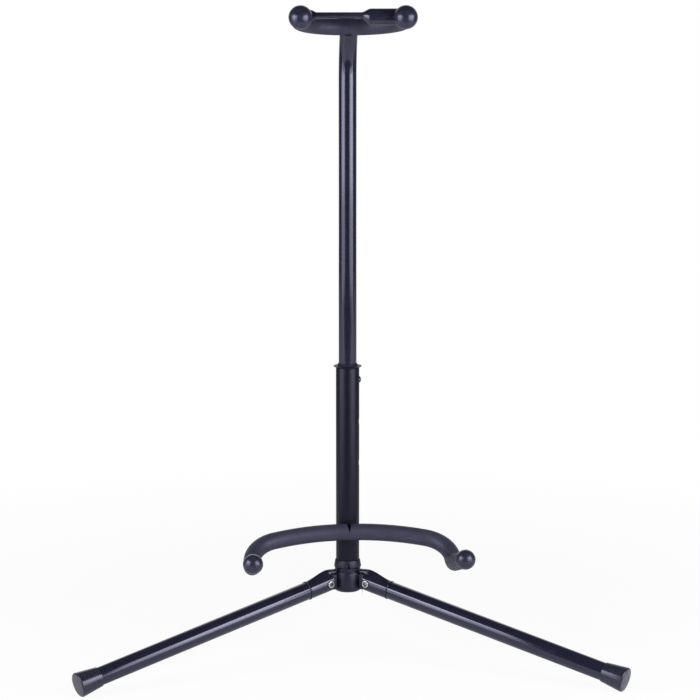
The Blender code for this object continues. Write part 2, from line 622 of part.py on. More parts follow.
def make_knuckle(name, axis, finishes):
    """Forked end fitting: two cheeks and a bridge round the hub's lug, and a spigot in the leg tube.

    The bridge bears on the flat top of the lug, which stops the open leg.
    """
    along = Vector((math.cos(LEG_SLOPE), 0.0, -math.sin(LEG_SLOPE)))
    square = Vector((math.sin(LEG_SLOPE), 0.0, math.cos(LEG_SLOPE)))
    rings = [upright_ring(top, bottom, KNUCKLE_RADIUS, exponent, KNUCKLE_SIDES)
             for top, bottom, exponent in knuckle_sections(along, square)]
    lip = KNUCKLE_RADIUS + KNUCKLE_LIP
    spigot = LEG_TUBE_RADIUS - LEG_TUBE_WALL - TOUCH_GAP
    spigot_end = KNUCKLE_LENGTH + KNUCKLE_SPIGOT_LENGTH
    turns = [(KNUCKLE_LENGTH - KNUCKLE_LIP_LENGTH + KNUCKLE_LIP, lip), (KNUCKLE_LENGTH, lip),
             (KNUCKLE_LENGTH, spigot), (spigot_end - KNUCKLE_SPIGOT_CHAMFER, spigot),
             (spigot_end, spigot - KNUCKLE_SPIGOT_CHAMFER)]
    for distance, size in turns:
        middle = along * distance
        rings.append(upright_ring(middle + square * size, middle - square * size, size, 2.0, KNUCKLE_SIDES))
    knuckle = add_piece("leg_knuckle_" + name, skin(rings), axis, finishes["gloss_paint"])
    slot = LUG_RADIUS + SLOT_CLEARANCE
    stop = LUG_RADIUS + TOUCH_GAP
    clear = 2.0 * KNUCKLE_TOP
    outline = [(-clear, -clear), (slot, -clear)] + arc((0.0, 0.0), slot, 0.0, math.pi / 2.0, 5)
    outline += [(0.0, stop), (-clear, stop)]
    fork = prism(outline, LUG_THICKNESS / 2.0 + RUNNING_GAP)
    shape_by(knuckle, add_piece("fork_form_" + name, fork, axis))
    across = Y_AXIS * 2.0 * KNUCKLE_RADIUS
    hole = cylinder(RIVET_RADIUS + RUNNING_GAP, -across, across, SMALL_SIDES)
    shape_by(knuckle, add_piece("rivet_hole_" + name, hole, axis))
    for label, side in (("near", -1.0), ("far", 1.0)):
        seat = Y_AXIS * side * (KNUCKLE_RADIUS - RIVET_SEAT_DEPTH)
        spot = cylinder(RIVET_HEAD_RADIUS + TOUCH_GAP, seat, across * side, SMALL_SIDES)
        shape_by(knuckle, add_piece("spot_face_" + label + "_" + name, spot, axis))


def make_rivet(name, axis, finishes):
    """Tubular rivet with a rolled head on each cheek."""
    seat = KNUCKLE_RADIUS - RIVET_SEAT_DEPTH + TOUCH_GAP
    edge = seat + RIVET_HEAD_EDGE
    crown = seat + RIVET_HEAD_THICKNESS
    half = [(RIVET_RADIUS, seat), (RIVET_HEAD_RADIUS, seat), (RIVET_HEAD_RADIUS, edge),
            (RIVET_CROWN_OUTER, crown), (RIVET_CROWN_INNER, crown), (RIVET_BORE, edge)]
    profile = [(radius, -height) for radius, height in half[::-1]] + half
    add_piece("leg_rivet_" + name, turned(profile, SMALL_SIDES), axis, finishes["bright_steel"],
              rotation=(math.pi / 2.0, 0.0, 0.0))


def make_leg_tube(name, axis, finishes):
    start = KNUCKLE_LENGTH + TOUCH_GAP
    end = LEG_LENGTH - BOOT_FLOOR - TOUCH_GAP
    points = [X_AXIS * start, X_AXIS * end]
    bm = pipe(points, LEG_TUBE_RADIUS, LEG_TUBE_RADIUS - LEG_TUBE_WALL, LEG_SIDES, Z_AXIS)
    add_piece("leg_tube_" + name, bm, axis, finishes["gloss_paint"], rotation=(0.0, LEG_SLOPE, 0.0))


def make_foot_cap(name, axis, finishes):
    """Tapered rubber boot with a rounded end, worn flat where it stands."""
    mouth = LEG_LENGTH - BOOT_LENGTH
    end = LEG_LENGTH
    rounded = arc((BOOT_RADIUS - BOOT_ROUND, end - BOOT_ROUND), BOOT_ROUND, 0.0, math.pi / 2.0, 4)
    profile = [(0.0, end - BOOT_FLOOR), (BOOT_BORE, end - BOOT_FLOOR), (BOOT_BORE, mouth),
               (BOOT_BORE + BOOT_MOUTH_WALL, mouth)]
    profile += rounded + [(0.0, end)]
    boot = add_piece("foot_cap_" + name, turned(profile, LEG_SIDES), axis, finishes["rubber"],
                     rotation=(0.0, math.pi / 2.0 + LEG_SLOPE, 0.0))
    reach = BOOT_LENGTH
    outline = [(-reach, -reach), (reach, -reach), (reach, 0.0), (-reach, 0.0)]
    place = (FOOT_REACH - PIVOT_RADIUS, 0.0, -PIVOT_HEIGHT)
    shape_by(boot, add_piece("floor_form_" + name, prism(outline, reach), axis, None, place))


def make_leg(name, azimuth, stand, finishes):
    """A leg folds down about its rivet. Its parent empty is on that axis."""
    place = (PIVOT_RADIUS * math.cos(azimuth), PIVOT_RADIUS * math.sin(azimuth), PIVOT_HEIGHT)
    axis = add_empty("leg_axis_" + name, stand, place, (0.0, 0.0, azimuth))
    make_knuckle(name, axis, finishes)
    make_rivet(name, axis, finishes)
    make_leg_tube(name, axis, finishes)
    make_foot_cap(name, axis, finishes)


def ball_cap(name, centre, direction, radius, seat_radius, parent, finishes):
    """Round cap with a flat seat at its back, pushed on a rod that ends at the ball's middle."""
    bore = ROD_RADIUS + TOUCH_GAP
    back = -math.sqrt(radius ** 2 - seat_radius ** 2)
    start = math.atan2(back, seat_radius)
    ball = arc((0.0, 0.0), radius, start, math.pi / 2.0, 8)
    profile = [(0.0, TOUCH_GAP), (bore, TOUCH_GAP), (bore, back)] + ball[:-1] + [(0.0, radius)]
    turn = direction.to_track_quat("Z", "Y").to_euler()
    add_piece(name, turned(profile, CAP_SIDES), parent, finishes["rubber"], centre, turn)
    return back


def chamfered_sleeve(points, length_from_end):
    """Centreline and radii of a sleeve with chamfered ends, which stops short of the route's end."""
    kept = trimmed(points, length_from_end)
    first = kept[0].lerp(kept[1], SLEEVE_CHAMFER / (kept[1] - kept[0]).length)
    last = kept[-1].lerp(kept[-2], SLEEVE_CHAMFER / (kept[-1] - kept[-2]).length)
    route = [kept[0], first] + kept[1:-1] + [last, kept[-1]]
    radii = [SLEEVE_RADIUS] * len(route)
    radii[0] = SLEEVE_RADIUS - SLEEVE_CHAMFER
    radii[-1] = SLEEVE_RADIUS - SLEEVE_CHAMFER
    return route, radii


def add_sleeve(name, points, length_from_end, parent, finishes):
    """Soft sleeve from just beside the middle of a rod to its cap."""
    first = points[0].lerp(points[1], TOUCH_GAP / 2.0 / (points[1] - points[0]).length)
    route, radii = chamfered_sleeve([first] + points[1:], length_from_end)
    bm = pipe(route, radii, SLEEVE_BORE, SLEEVE_SIDES, Z_AXIS)
    return add_piece(name, bm, parent, finishes["sleeve"])


def cradle_route():
    """Right half: a gently curved back, a corner, and an arm that turns up to its tip."""
    middle = (0.0, -(LOWER_TUBE_RADIUS + TOUCH_GAP + ROD_RADIUS), CRADLE_Z)
    plane_axis = (0.0, math.sin(CRADLE_DIP), -math.cos(CRADLE_DIP))
    back_angle = math.asin(CRADLE_BACK_HALF / CRADLE_BACK_RADIUS)
    route = Route(middle, X_AXIS)
    route.run(CRADLE_WELD_HALF)
    route.bend(CRADLE_BACK_RADIUS, back_angle, plane_axis, LONG_ARC_STEP)
    route.bend(CRADLE_CORNER_RADIUS, CRADLE_CORNER_END - back_angle, plane_axis)
    dip = math.asin(-route.heading.z)
    route.bend(CRADLE_TIP_RADIUS, dip + CRADLE_TIP_RISE, route.heading.cross(Z_AXIS))
    return route.run(CRADLE_TIP_LENGTH)


def make_cradle(mast, finishes):
    """Rod welded across the front of the lower tube, in two sleeves notched round the tube."""
    route = cradle_route()
    right = route.points
    rod = skin(rings_along(mirrored(right)[::-1] + right[1:], ROD_RADIUS, ROD_SIDES, Z_AXIS))
    add_piece("cradle_rod", rod, mast, finishes["zinc_steel"])
    cap_radius = SLEEVE_RADIUS + CRADLE_CAP_PROUD
    seat_radius = SLEEVE_RADIUS - SLEEVE_CHAMFER
    top = CRADLE_Z + SLEEVE_RADIUS
    clear = 2.0 * SLEEVE_RADIUS
    slope = CRADLE_NOTCH_WIDTH / 2.0 / CRADLE_NOTCH_DEPTH
    notch = [(0.0, top - CRADLE_NOTCH_DEPTH), (slope * (CRADLE_NOTCH_DEPTH + clear), top + clear),
             (-slope * (CRADLE_NOTCH_DEPTH + clear), top + clear)]
    notch_form = add_piece("cradle_notch_form", prism(notch, clear), mast, None, (0.0, right[0].y, 0.0))
    mast_form = cylinder(LOWER_TUBE_RADIUS + TOUCH_GAP, (0.0, 0.0, CRADLE_Z - clear),
                         (0.0, 0.0, CRADLE_Z + clear), MAST_SIDES)
    mast_form = add_piece("cradle_mast_form", mast_form, mast)
    for name, side, points in (("left", -1.0, mirrored(right)), ("right", 1.0, right)):
        tip = Vector((side * route.heading.x, route.heading.y, route.heading.z))
        back = ball_cap("cradle_cap_" + name, points[-1], tip, cap_radius, seat_radius, mast, finishes)
        sleeve = add_sleeve("cradle_sleeve_" + name, points, TOUCH_GAP - back, mast, finishes)
        shape_by(sleeve, mast_form)
        shape_by(sleeve, notch_form)


def neck_route():
    """Right half of the yoke: along the bar, round the corner and forward."""
    middle = upper_route().points[-1]
    plane_axis = (0.0, -math.sin(NECK_RISE), -math.cos(NECK_RISE))
    route = Route(middle, X_AXIS)
    route.run(NECK_HALF_WIDTH - NECK_BEND_RADIUS)
    route.bend(NECK_BEND_RADIUS, math.pi / 2.0, plane_axis)
    return route.run(NECK_REACH - NECK_BEND_RADIUS)


def neck_cap_size():
    """Radius of a neck cap, of its seat, and the distance of the seat behind its middle."""
    radius = SLEEVE_RADIUS + NECK_CAP_PROUD
    seat_radius = ROD_RADIUS + NECK_CAP_COLLAR
    return radius, seat_radius, math.sqrt(radius ** 2 - seat_radius ** 2)


def make_neck_yoke(upper, finishes):
    """Bent rod on a stub that plugs the upper tube, two sleeves, two caps."""
    route = neck_route()
    right = route.points
    middle = right[0]
    down = -upper_route().heading
    bm = skin(rings_along(mirrored(right)[::-1] + right[1:], ROD_RADIUS, ROD_SIDES, Z_AXIS))
    rod = add_piece("neck_rod", bm, upper, finishes["zinc_steel"])
    plug_start = TUBE_END_DROP + TOUCH_GAP
    plug_radius = UPPER_BORE - TOUCH_GAP
    stub = [(0.0, 0.0), (STUB_RADIUS, 0.0), (STUB_RADIUS, plug_start), (plug_radius, plug_start),
            (plug_radius, TOP_RUN), (0.0, TOP_RUN)]
    turn = down.to_track_quat("Z", "Y").to_euler()
    shape_by(rod, add_piece("stub_form", turned(stub, MAST_SIDES), upper, None, middle, turn), "UNION")
    seat_drop = TUBE_END_DROP - TOUCH_GAP
    wide = UPPER_TUBE_RADIUS + TOUCH_GAP
    narrow = STUB_RADIUS + TOUCH_GAP
    clear = 2.0 * SLEEVE_RADIUS
    tube_form = [(0.0, 0.0), (narrow, 0.0), (narrow, seat_drop), (wide, seat_drop), (wide, clear), (0.0, clear)]
    tube_form = add_piece("tube_form", turned(tube_form, MAST_SIDES), upper, None, middle, turn)
    radius, seat_radius, seat = neck_cap_size()
    for name, side, points in (("left", -1.0, mirrored(right)), ("right", 1.0, right)):
        ball_cap("neck_cap_" + name, points[-1], route.heading, radius, seat_radius, upper, finishes)
        bare = seat + STRAP_LOOP_WIDTH + 3.0 * TOUCH_GAP
        sleeve = add_sleeve("neck_sleeve_" + name, points, bare, upper, finishes)
        shape_by(sleeve, tube_form)


def strap_place():
    """Where the strap's loop sits on the right rod, between the cap's seat and the sleeve."""
    route = neck_route()
    seat = neck_cap_size()[2]
    return route.points[-1] - route.heading * (seat + 1.5 * TOUCH_GAP + STRAP_LOOP_WIDTH / 2.0)


def strap_ring(distance, depth, height, lift, exponent):
    """A section of the strap at a distance from the right rod, lifted above the rods."""
    return [Vector((-distance, depth / 2.0 * across, lift + height / 2.0 * upward))
            for across, upward in superellipse(exponent, SLEEVE_SIDES)]


def make_neck_strap(upper, finishes):
    """Rubber strap: a loop on the right rod, a barrel, a thin band, and a hook on the left rod."""
    span = 2.0 * NECK_HALF_WIDTH
    inside = (STRAP_RADIUS + ROD_RADIUS) / 2.0
    neck = (STRAP_RADIUS + STRAP_BARREL_START) / 2.0
    flare = span - STRAP_RADIUS - STRAP_FLARE_LENGTH
    loop = STRAP_LOOP_WIDTH / 2.0
    web = (STRAP_WEB_DEPTH, STRAP_WEB_HEIGHT, 0.0, STRAP_WEB_SQUARENESS)
    wide = 2.0 * STRAP_BARREL_RADIUS
    barrel_end = wide - 2.0 * STRAP_BARREL_CHAMFER
    barrel = (wide, wide, STRAP_BARREL_LIFT, 2.0)
    band = (STRAP_BAND_DEPTH, STRAP_BAND_HEIGHT, STRAP_BAND_LIFT, STRAP_BAND_SQUARENESS)
    stations = [(inside, web), (neck, web),
                (STRAP_BARREL_START, (barrel_end, barrel_end, STRAP_BARREL_LIFT, 2.0)),
                (STRAP_BARREL_START + STRAP_BARREL_CHAMFER, barrel), (STRAP_BARREL_END, barrel),
                (STRAP_TAPER_END, band), (flare, band), (span - inside, web)]
    rings = [strap_ring(distance, *section) for distance, section in stations]
    axis = add_empty("strap_axis", upper, strap_place(), (-NECK_RISE, 0.0, 0.0))
    strap = add_piece("neck_strap", skin(rings), axis, finishes["rubber"])
    for label, x in (("loop", 0.0), ("hook", -span)):
        boss = cylinder(STRAP_RADIUS, (x, -loop, 0.0), (x, loop, 0.0), SLEEVE_SIDES)
        shape_by(strap, add_piece("strap_" + label + "_form", boss, axis), "UNION")
    hole = cylinder(ROD_RADIUS + RUNNING_GAP, (0.0, -2.0 * loop, 0.0), (0.0, 2.0 * loop, 0.0), SMALL_SIDES)
    shape_by(strap, add_piece("strap_hole", hole, axis))
    mouth = ROD_RADIUS + RUNNING_GAP
    outline = [(-span + mouth, 0.0)] + arc((-span, 0.0), mouth, 0.0, math.pi, 8)[1:]
    outline += [(-span - mouth, -span), (-span + mouth, -span)]
    shape_by(strap, add_piece("strap_mouth", prism(outline, 2.0 * loop), axis))
    jaw = [(-span - span / 2.0, -span), (-span / 2.0, -span), (-span / 2.0, -STRAP_HOOK_DEPTH),
           (-span - span / 2.0, -STRAP_HOOK_DEPTH)]
    shape_by(strap, add_piece("strap_jaw_end", prism(jaw, 2.0 * loop), axis))


def centre_on_footprint(stand):
    """Put the middle of the footprint's box on the origin."""
    bpy.context.view_layer.update()
    depsgraph = bpy.context.evaluated_depsgraph_get()
    corners = []
    for piece in bpy.context.scene.objects:
        if piece.type == "MESH" and not piece.hide_render:
            shaped = piece.evaluated_get(depsgraph)
            corners += [shaped.matrix_world @ vertex.co for vertex in shaped.data.vertices]
    stand.location.x -= (min(c.x for c in corners) + max(c.x for c in corners)) / 2.0
    stand.location.y -= (min(c.y for c in corners) + max(c.y for c in corners)) / 2.0
    bpy.context.view_layer.update()


def build():
    for old in list(bpy.data.objects):
        bpy.data.objects.remove(old, do_unlink=True)
    finishes = make_finishes()
    stand = add_empty("stand")
    mast = add_empty("mast", stand, rotation=(0.0, 0.0, MAST_TURN))
    upper = add_empty("upper_mast_axis", mast, rotation=(0.0, 0.0, TOP_BEND_TURN))
    button_axis = add_empty("button_axis", mast, (0.0, 0.0, BUTTON_Z))
    make_hub(stand, finishes)
    make_hub_bolt(stand, finishes)
    make_mast_plug(mast, finishes)
    make_stop_collar(mast, finishes)
    make_lower_tube(mast, finishes)
    make_mast_bush(mast, finishes)
    make_cradle(mast, finishes)
    make_upper_tube(mast, upper, finishes)
    make_glide_plug(mast, finishes)
    make_snap_button(button_axis, finishes)
    make_button_spring(mast, finishes)
    make_neck_yoke(upper, finishes)
    make_neck_strap(upper, finishes)
    for name, azimuth in LEG_AZIMUTHS.items():
        make_leg(name, azimuth, stand, finishes)
    centre_on_footprint(stand)


build()
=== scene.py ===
"""The looks of a folding guitar stand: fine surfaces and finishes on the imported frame.

Metres, +Z up, the stand faces -Y. Left and right are as seen by someone who faces it.
"""
import json
import math

import bmesh
import bpy
from mathutils import Matrix, Vector


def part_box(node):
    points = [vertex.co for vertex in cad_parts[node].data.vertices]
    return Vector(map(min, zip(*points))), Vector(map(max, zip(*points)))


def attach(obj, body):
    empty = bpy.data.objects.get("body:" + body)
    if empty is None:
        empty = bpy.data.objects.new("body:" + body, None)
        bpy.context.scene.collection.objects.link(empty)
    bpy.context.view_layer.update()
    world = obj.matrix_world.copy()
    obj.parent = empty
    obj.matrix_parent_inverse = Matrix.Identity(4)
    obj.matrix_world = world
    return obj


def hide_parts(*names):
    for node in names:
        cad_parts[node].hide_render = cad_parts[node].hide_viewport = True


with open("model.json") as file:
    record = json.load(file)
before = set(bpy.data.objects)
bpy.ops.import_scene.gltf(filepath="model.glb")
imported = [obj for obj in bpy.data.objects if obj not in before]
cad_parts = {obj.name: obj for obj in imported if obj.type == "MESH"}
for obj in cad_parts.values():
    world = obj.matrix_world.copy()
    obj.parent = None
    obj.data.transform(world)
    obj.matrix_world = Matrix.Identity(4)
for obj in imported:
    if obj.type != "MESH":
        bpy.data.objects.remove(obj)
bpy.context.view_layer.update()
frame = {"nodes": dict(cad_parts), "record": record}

MM = 0.001
PHOTO_SIZE = 700            # pixels along each side of the photograph

# Tubes
LOWER_RADIUS = 12.5 * MM
UPPER_RADIUS = 9.5 * MM
LEG_RADIUS = 9.5 * MM
TUBE_WALL = 1.2 * MM
GAP = 0.3 * MM
TOP_BEND_START = 302.3 * MM  # above the rim of the bush
TOP_BEND_RADIUS = 75.0 * MM
TOP_BEND_ANGLE = math.radians(40.0)
TOP_BEND_TURN = math.radians(-1.9)  # from the mast
TOP_RUN = 12.0 * MM
TUBE_END_DROP = 4.3 * MM     # from the middle of the yoke rod to the end of the tube
LOWER_TUBE_EDGE = 0.2 * MM   # rounding of the cut ends
THIN_TUBE_EDGE = 0.25 * MM

# Button and height holes
BUTTON_RADIUS = 3.5 * MM
BUTTON_PROUD = 1.9 * MM
BUTTON_CROWN = 1.9 * MM
BUTTON_FLANGE_RADIUS = 4.6 * MM
BUTTON_FLANGE_X = (5.62 * MM, 6.52 * MM)
HOLE_PITCH = 45.0 * MM
HOLE_COUNT = 3

# Bush
BUSH_RIM_RADIUS = 15.1 * MM
BUSH_RIM_RISE = 1.6 * MM
BUSH_RIM_THICKNESS = 0.7 * MM
BUSH_LIP_RISE = 2.7 * MM
BUSH_LIP_FOOT = 1.6 * MM
BUSH_LIP_WALL = 0.5 * MM
BUSH_BORE = 9.8 * MM
BUSH_SLEEVE_RADIUS = 11.0 * MM

# Collar and hub
COLLAR_RADIUS = 14.6 * MM
COLLAR_TOP_RADIUS = 13.4 * MM
COLLAR_LIP = 1.2 * MM
SLIT_WIDTH = (2.6 * MM, 0.5 * MM)   # at its foot and at its top
SLIT_HEIGHT = 5.8 * MM
HUB_RADIUS = 15.5 * MM
SPIGOT_RADIUS = 11.0 * MM
HUB_SHOULDER = 9.2 * MM      # above the leg pivots, where the core's top chamfer starts
HUB_TOP = (14.5 * MM, 10.6 * MM)    # radius and height of the end of that chamfer
HUB_NECK_RADIUS = 13.8 * MM
HUB_NECK_TOP = 14.8 * MM
HUB_BOTTOM = 11.7 * MM
HUB_ROUND = 5.5 * MM
LUG_RADIUS = 8.2 * MM
LUG_HALF = 2.8 * MM
LUG_ROOT_CLEAR = 2.0 * MM    # between its root inside the core and the bolt's seat
BOLT_RADIUS = 3.0 * MM
BOLT_HEAD_RADIUS = 5.0 * MM
BOLT_HEAD_HEIGHT = 6.0 * MM
BOLT_SEAT_ROOM = 0.8 * MM    # above its head
HEX_KEY_RADIUS = 2.9 * MM
HEX_KEY_DEPTH = 3.5 * MM

# Legs
LEG_SLOPE = math.radians(12.8)
FORK_PLAY = {"rear": math.radians(-1.6)}    # the rear leg stands a little out of line in its fork
FOOT_REACH = 324.0 * MM
KNUCKLE_NOSE = 4.0 * MM      # from the rivet to its square inner end
KNUCKLE_TOP = 14.2 * MM
KNUCKLE_FLAT_END = -2.0 * MM
KNUCKLE_LENGTH = 25.6 * MM
KNUCKLE_RADIUS = 9.75 * MM
KNUCKLE_LIP = 0.4 * MM
KNUCKLE_LIP_LENGTH = 1.3 * MM
KNUCKLE_SPIGOT_LENGTH = 18.0 * MM
KNUCKLE_EDGE = 0.35 * MM
SLOT_CLEARANCE = 0.8 * MM    # between the round end of a hub lug and its slot
KNUCKLE_DOME = 7.0           # how sharply its top is drawn up
TONGUE_END = 10.5 * MM       # from the rivet to the end of the bridge, towards the mast
TONGUE_HALF = 4.5 * MM
TONGUE_TIP = (1.0 * MM, 0.8)  # length of its narrowed end, and its share of the width
TONGUE_SQUARENESS = 2.4      # superellipse exponent
RIVET_RADIUS = 2.5 * MM
RIVET_HEAD_RADIUS = 3.7 * MM
RIVET_HEAD = 1.1 * MM
RIVET_BORE = 2.2 * MM
RIVET_SEAT = 9.25 * MM
BOOT_LENGTH = 25.0 * MM
BOOT_BORE = 9.8 * MM
BOOT_MOUTH = 10.4 * MM
BOOT_RADIUS = 13.1 * MM
BOOT_FLOOR = 3.5 * MM
BOOT_ROUND = 1.6 * MM

# Rods, sleeves and caps
ROD_RADIUS = 4.0 * MM
SLEEVE_RADIUS = 9.0 * MM
SLEEVE_BORE = 4.3 * MM
SLEEVE_EDGE = 0.7 * MM
SEAM_HALF = 0.06 * MM       # half of the gap where two sleeves meet
CUT_CLEAR = 2.0 * MM
SNUG = 0.05 * MM            # round a tube that a sleeve is cut for
CRADLE_RISE = 56.5 * MM     # above the leg pivots
CRADLE_WELD_HALF = 3.0 * MM
CRADLE_BACK_RADIUS = 259.0 * MM
CRADLE_BACK_HALF = 77.7 * MM
CRADLE_CORNER_RADIUS = 36.9 * MM
CRADLE_CORNER_END = math.radians(88.0)
CRADLE_DIP = math.radians(26.7)
CRADLE_TIP_RADIUS = 20.8 * MM
CRADLE_TIP_RISE = math.radians(16.2)
CRADLE_TIP_LENGTH = 65.0 * MM
CRADLE_CAP_RADIUS = 10.4 * MM
CRADLE_SEAT_RADIUS = 8.4 * MM
NOTCH_WIDTH = 4.8 * MM
NOTCH_DEPTH = 8.0 * MM
NECK_HALF = 53.2 * MM
NECK_BEND_RADIUS = 50.0 * MM
NECK_REACH = 74.0 * MM
NECK_RISE = math.radians(9.0)
NECK_CAP_RADIUS = 12.1 * MM
NECK_SEAT_RADIUS = 6.5 * MM
STUB_RADIUS = 4.5 * MM

# Strap
STRAP_RADIUS = 8.2 * MM
STRAP_LOOP_HALF = 4.25 * MM
STRAP_HOOK_DEPTH = 5.2 * MM
STRAP_WEB = (3.4 * MM, 5.4 * MM)          # half depth and half height by its hook
STRAP_WEB_LIFT = 3.9 * MM
STRAP_WEB_REACH = 11.5 * MM               # from the left rod
STRAP_BARREL_RADIUS = 8.5 * MM
STRAP_BARREL_CHAMFER = 1.2 * MM
STRAP_BARREL = (5.0 * MM, 34.5 * MM)      # from the right rod
STRAP_BARREL_LIFT = 2.3 * MM
STRAP_TAPER_END = 44.0 * MM
STRAP_BAND = (5.0 * MM, 3.3 * MM)
STRAP_BAND_LIFT = 3.7 * MM
STRAP_FLARE = 9.0 * MM
STRAP_EDGE = 0.4 * MM
STRAP_WEB_SQUARENESS = 2.4                # superellipse exponents
STRAP_BAND_SQUARENESS = 2.3

# Camera, matched to the tubes, the feet and the rods of the photograph
CAMERA_PIXEL_FOCAL = 2500.0
CAMERA_SENSOR = 36.0
CAMERA_CLIP_END = 50.0
CAMERA_DEPTH = 2.667        # to the mast's axis
CAMERA_PITCH = math.radians(9.0)
CAMERA_YAW = math.radians(1.9)   # the stand is turned this much from the camera
CAMERA_AIM_RISE = 251.5 * MM     # above the leg pivots, at the middle row of the photograph
CAMERA_AIM_COLUMN = 347.6        # where the mast's axis stands in the photograph

# Studio. Azimuths are in degrees from the camera, to the right
BACKDROP_EDGE = (0.70, 0.84)     # how far to the back a ray points where the backdrop starts
ROOM_LEVEL = 0.10
PAPER_GLOW = (0.93, 1.0)         # beside the stand and far from it; the lower glow beside the stand paints a faint grey pool there
PAPER_FADE = (0.35, 0.95)        # distances from the stand between which it changes
PAPER_SHEEN = 0.30               # how much of the glow shows in gloss
TABLE = (-1.6, 1.6, -0.78, 3.0)  # left, right, front and back edge
TABLE_DROP = 0.4 * MM            # below the feet
# Name, azimuth, distance, height, size across and up, and radiance of each soft box
LAMPS = (("left_low", -58.0, 1.26, 0.54, (1.15, 1.04), 2.3),
         ("left_box", -58.0, 1.25, 0.66, (1.15, 0.80), 1.5),
         ("left_core", -58.0, 1.24, 0.64, (0.60, 0.70), 2.0),
         ("left_high", -54.0, 1.23, 0.84, (1.00, 0.22), 4.5),
         ("right_low", 50.0, 1.26, 0.54, (1.15, 1.04), 3.0),
         ("right_box", 50.0, 1.25, 0.66, (1.15, 0.80), 1.6),
         ("right_core", 52.0, 1.24, 0.64, (0.60, 0.70), 2.4),
         ("right_high", 54.0, 1.23, 0.84, (1.00, 0.22), 2.5))

# Facets
ROUND = 96
FINE_STEP = math.radians(2.5)
SMOOTH_ANGLE = math.radians(32.0)    # edges under it are shaded smooth
X_AXIS = Vector((1.0, 0.0, 0.0))
Y_AXIS = Vector((0.0, 1.0, 0.0))
Z_AXIS = Vector((0.0, 0.0, 1.0))

# Places read from the frame
joints = {joint["name"]: joint for joint in frame["record"]["behaviour"]["joints"]}
tube_low, tube_high = (Vector(corner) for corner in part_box("lower_tube"))
mast_foot = Vector(((tube_low.x + tube_high.x) / 2.0, (tube_low.y + tube_high.y) / 2.0, 0.0))
inward = Vector(joints["button_press"]["axis"])
mast_turn = math.atan2(-inward.y, -inward.x)
MAST = Matrix.Translation(mast_foot) @ Matrix.Rotation(mast_turn, 4, "Z")
UPPER = MAST @ Matrix.Rotation(TOP_BEND_TURN, 4, "Z")
PIVOT_Z = joints["leg_fold_rear"]["pos_m"][2]
TUBE_FOOT, TUBE_TOP = tube_low.z, tube_high.z
RIM_Z = TUBE_TOP + GAP + BUSH_RIM_RISE
COLLAR_FOOT, COLLAR_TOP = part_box("stop_collar")[0][2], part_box("stop_collar")[1][2]
SPIGOT_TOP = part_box("hub")[1][2]
BUTTON_Z = (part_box("snap_button")[0][2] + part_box("snap_button")[1][2]) / 2.0
UPPER_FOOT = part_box("upper_tube")[0][2]
CRADLE_Z = PIVOT_Z + CRADLE_RISE
PIVOT_RADIUS = (Vector(joints["leg_fold_rear"]["pos_m"]).xy - mast_foot.xy).length
LEG_LENGTH = (FOOT_REACH - PIVOT_RADIUS) / math.cos(LEG_SLOPE)
LEGS = ("left", "right", "rear")
SIDES = (("left", -1.0), ("right", 1.0))


def leg_place(name):
    """Frame at a leg's rivet: x outward, z up, y along the rivet."""
    joint = joints["leg_fold_" + name]
    across = Vector(joint["axis"])
    azimuth = math.atan2(-across.x, across.y) + FORK_PLAY.get(name, 0.0)
    return Matrix.Translation(joint["pos_m"]) @ Matrix.Rotation(azimuth, 4, "Z")


def sloped(name):
    """Frame at a leg's rivet with x down along the leg."""
    return leg_place(name) @ Matrix.Rotation(LEG_SLOPE, 4, "Y")


# Colours and materials

VIOLET = (0.75, 0.75, 1.0, 1.0)     # the cast that the black finishes have in gloss


def srgb(code):
    """Turn an sRGB hex code such as 1c1b22 to a linear colour."""
    channels = [int(code[k:k + 2], 16) / 255.0 for k in (0, 2, 4)]
    linear = [c / 12.92 if c <= 0.04045 else ((c + 0.055) / 1.055) ** 2.4 for c in channels]
    return (*linear, 1.0)


def add(tree, kind, settings=None, inputs=None):
    """Add a node. An input gets a value, or a link from a socket or from a node's first output."""
    node = tree.nodes.new(kind)
    for name, value in (settings or {}).items():
        setattr(node, name, value)
    for key, value in (inputs or {}).items():
        socket = node.inputs[key]
        if isinstance(value, bpy.types.Node):
            tree.links.new(value.outputs[0], socket)
        elif isinstance(value, bpy.types.NodeSocket):
            tree.links.new(value, socket)
        else:
            socket.default_value = value
    return node


def noise(tree, coordinates, size, detail=2.0, roughness=0.5):
    """Noise whose bumps are about this many metres apart."""
    return add(tree, "ShaderNodeTexNoise", None,
               {"Vector": coordinates, "Scale": 1.0 / size, "Detail": detail, "Roughness": roughness})


def between(tree, factor, low, high, start=0.3, end=0.7):
    """Map a factor from start..end to low..high."""
    return add(tree, "ShaderNodeMapRange", None,
               {"Value": factor, "From Min": start, "From Max": end, "To Min": low, "To Max": high})


def start_material(name, colour, values):
    """A Principled material in its plain state, with its object coordinates."""
    material = bpy.data.materials.new(name)
    material.use_nodes = True
    tree = material.node_tree
    shader = tree.nodes["Principled BSDF"]
    shader.inputs["Base Color"].default_value = srgb(colour)
    if "Metallic" not in values:
        shader.inputs["Specular Tint"].default_value = VIOLET
    for key, value in values.items():
        shader.inputs[key].default_value = value
    coordinates = add(tree, "ShaderNodeTexCoord").outputs["Object"]
    return material, tree, shader, coordinates


def roughen(tree, shader, factor, low, high):
    """Vary the roughness a little between two values."""
    tree.links.new(between(tree, factor, low, high).outputs[0], shader.inputs["Roughness"])


def bump(tree, shader, height, distance, after=None):
    """Raise the surface by a height field, distance metres for a step from 0 to 1."""
    inputs = {"Height": height, "Distance": distance, "Strength": 1.0}
    if after:
        inputs["Normal"] = after
    node = add(tree, "ShaderNodeBump", None, inputs)
    tree.links.new(node.outputs["Normal"], shader.inputs["Normal"])
    return node


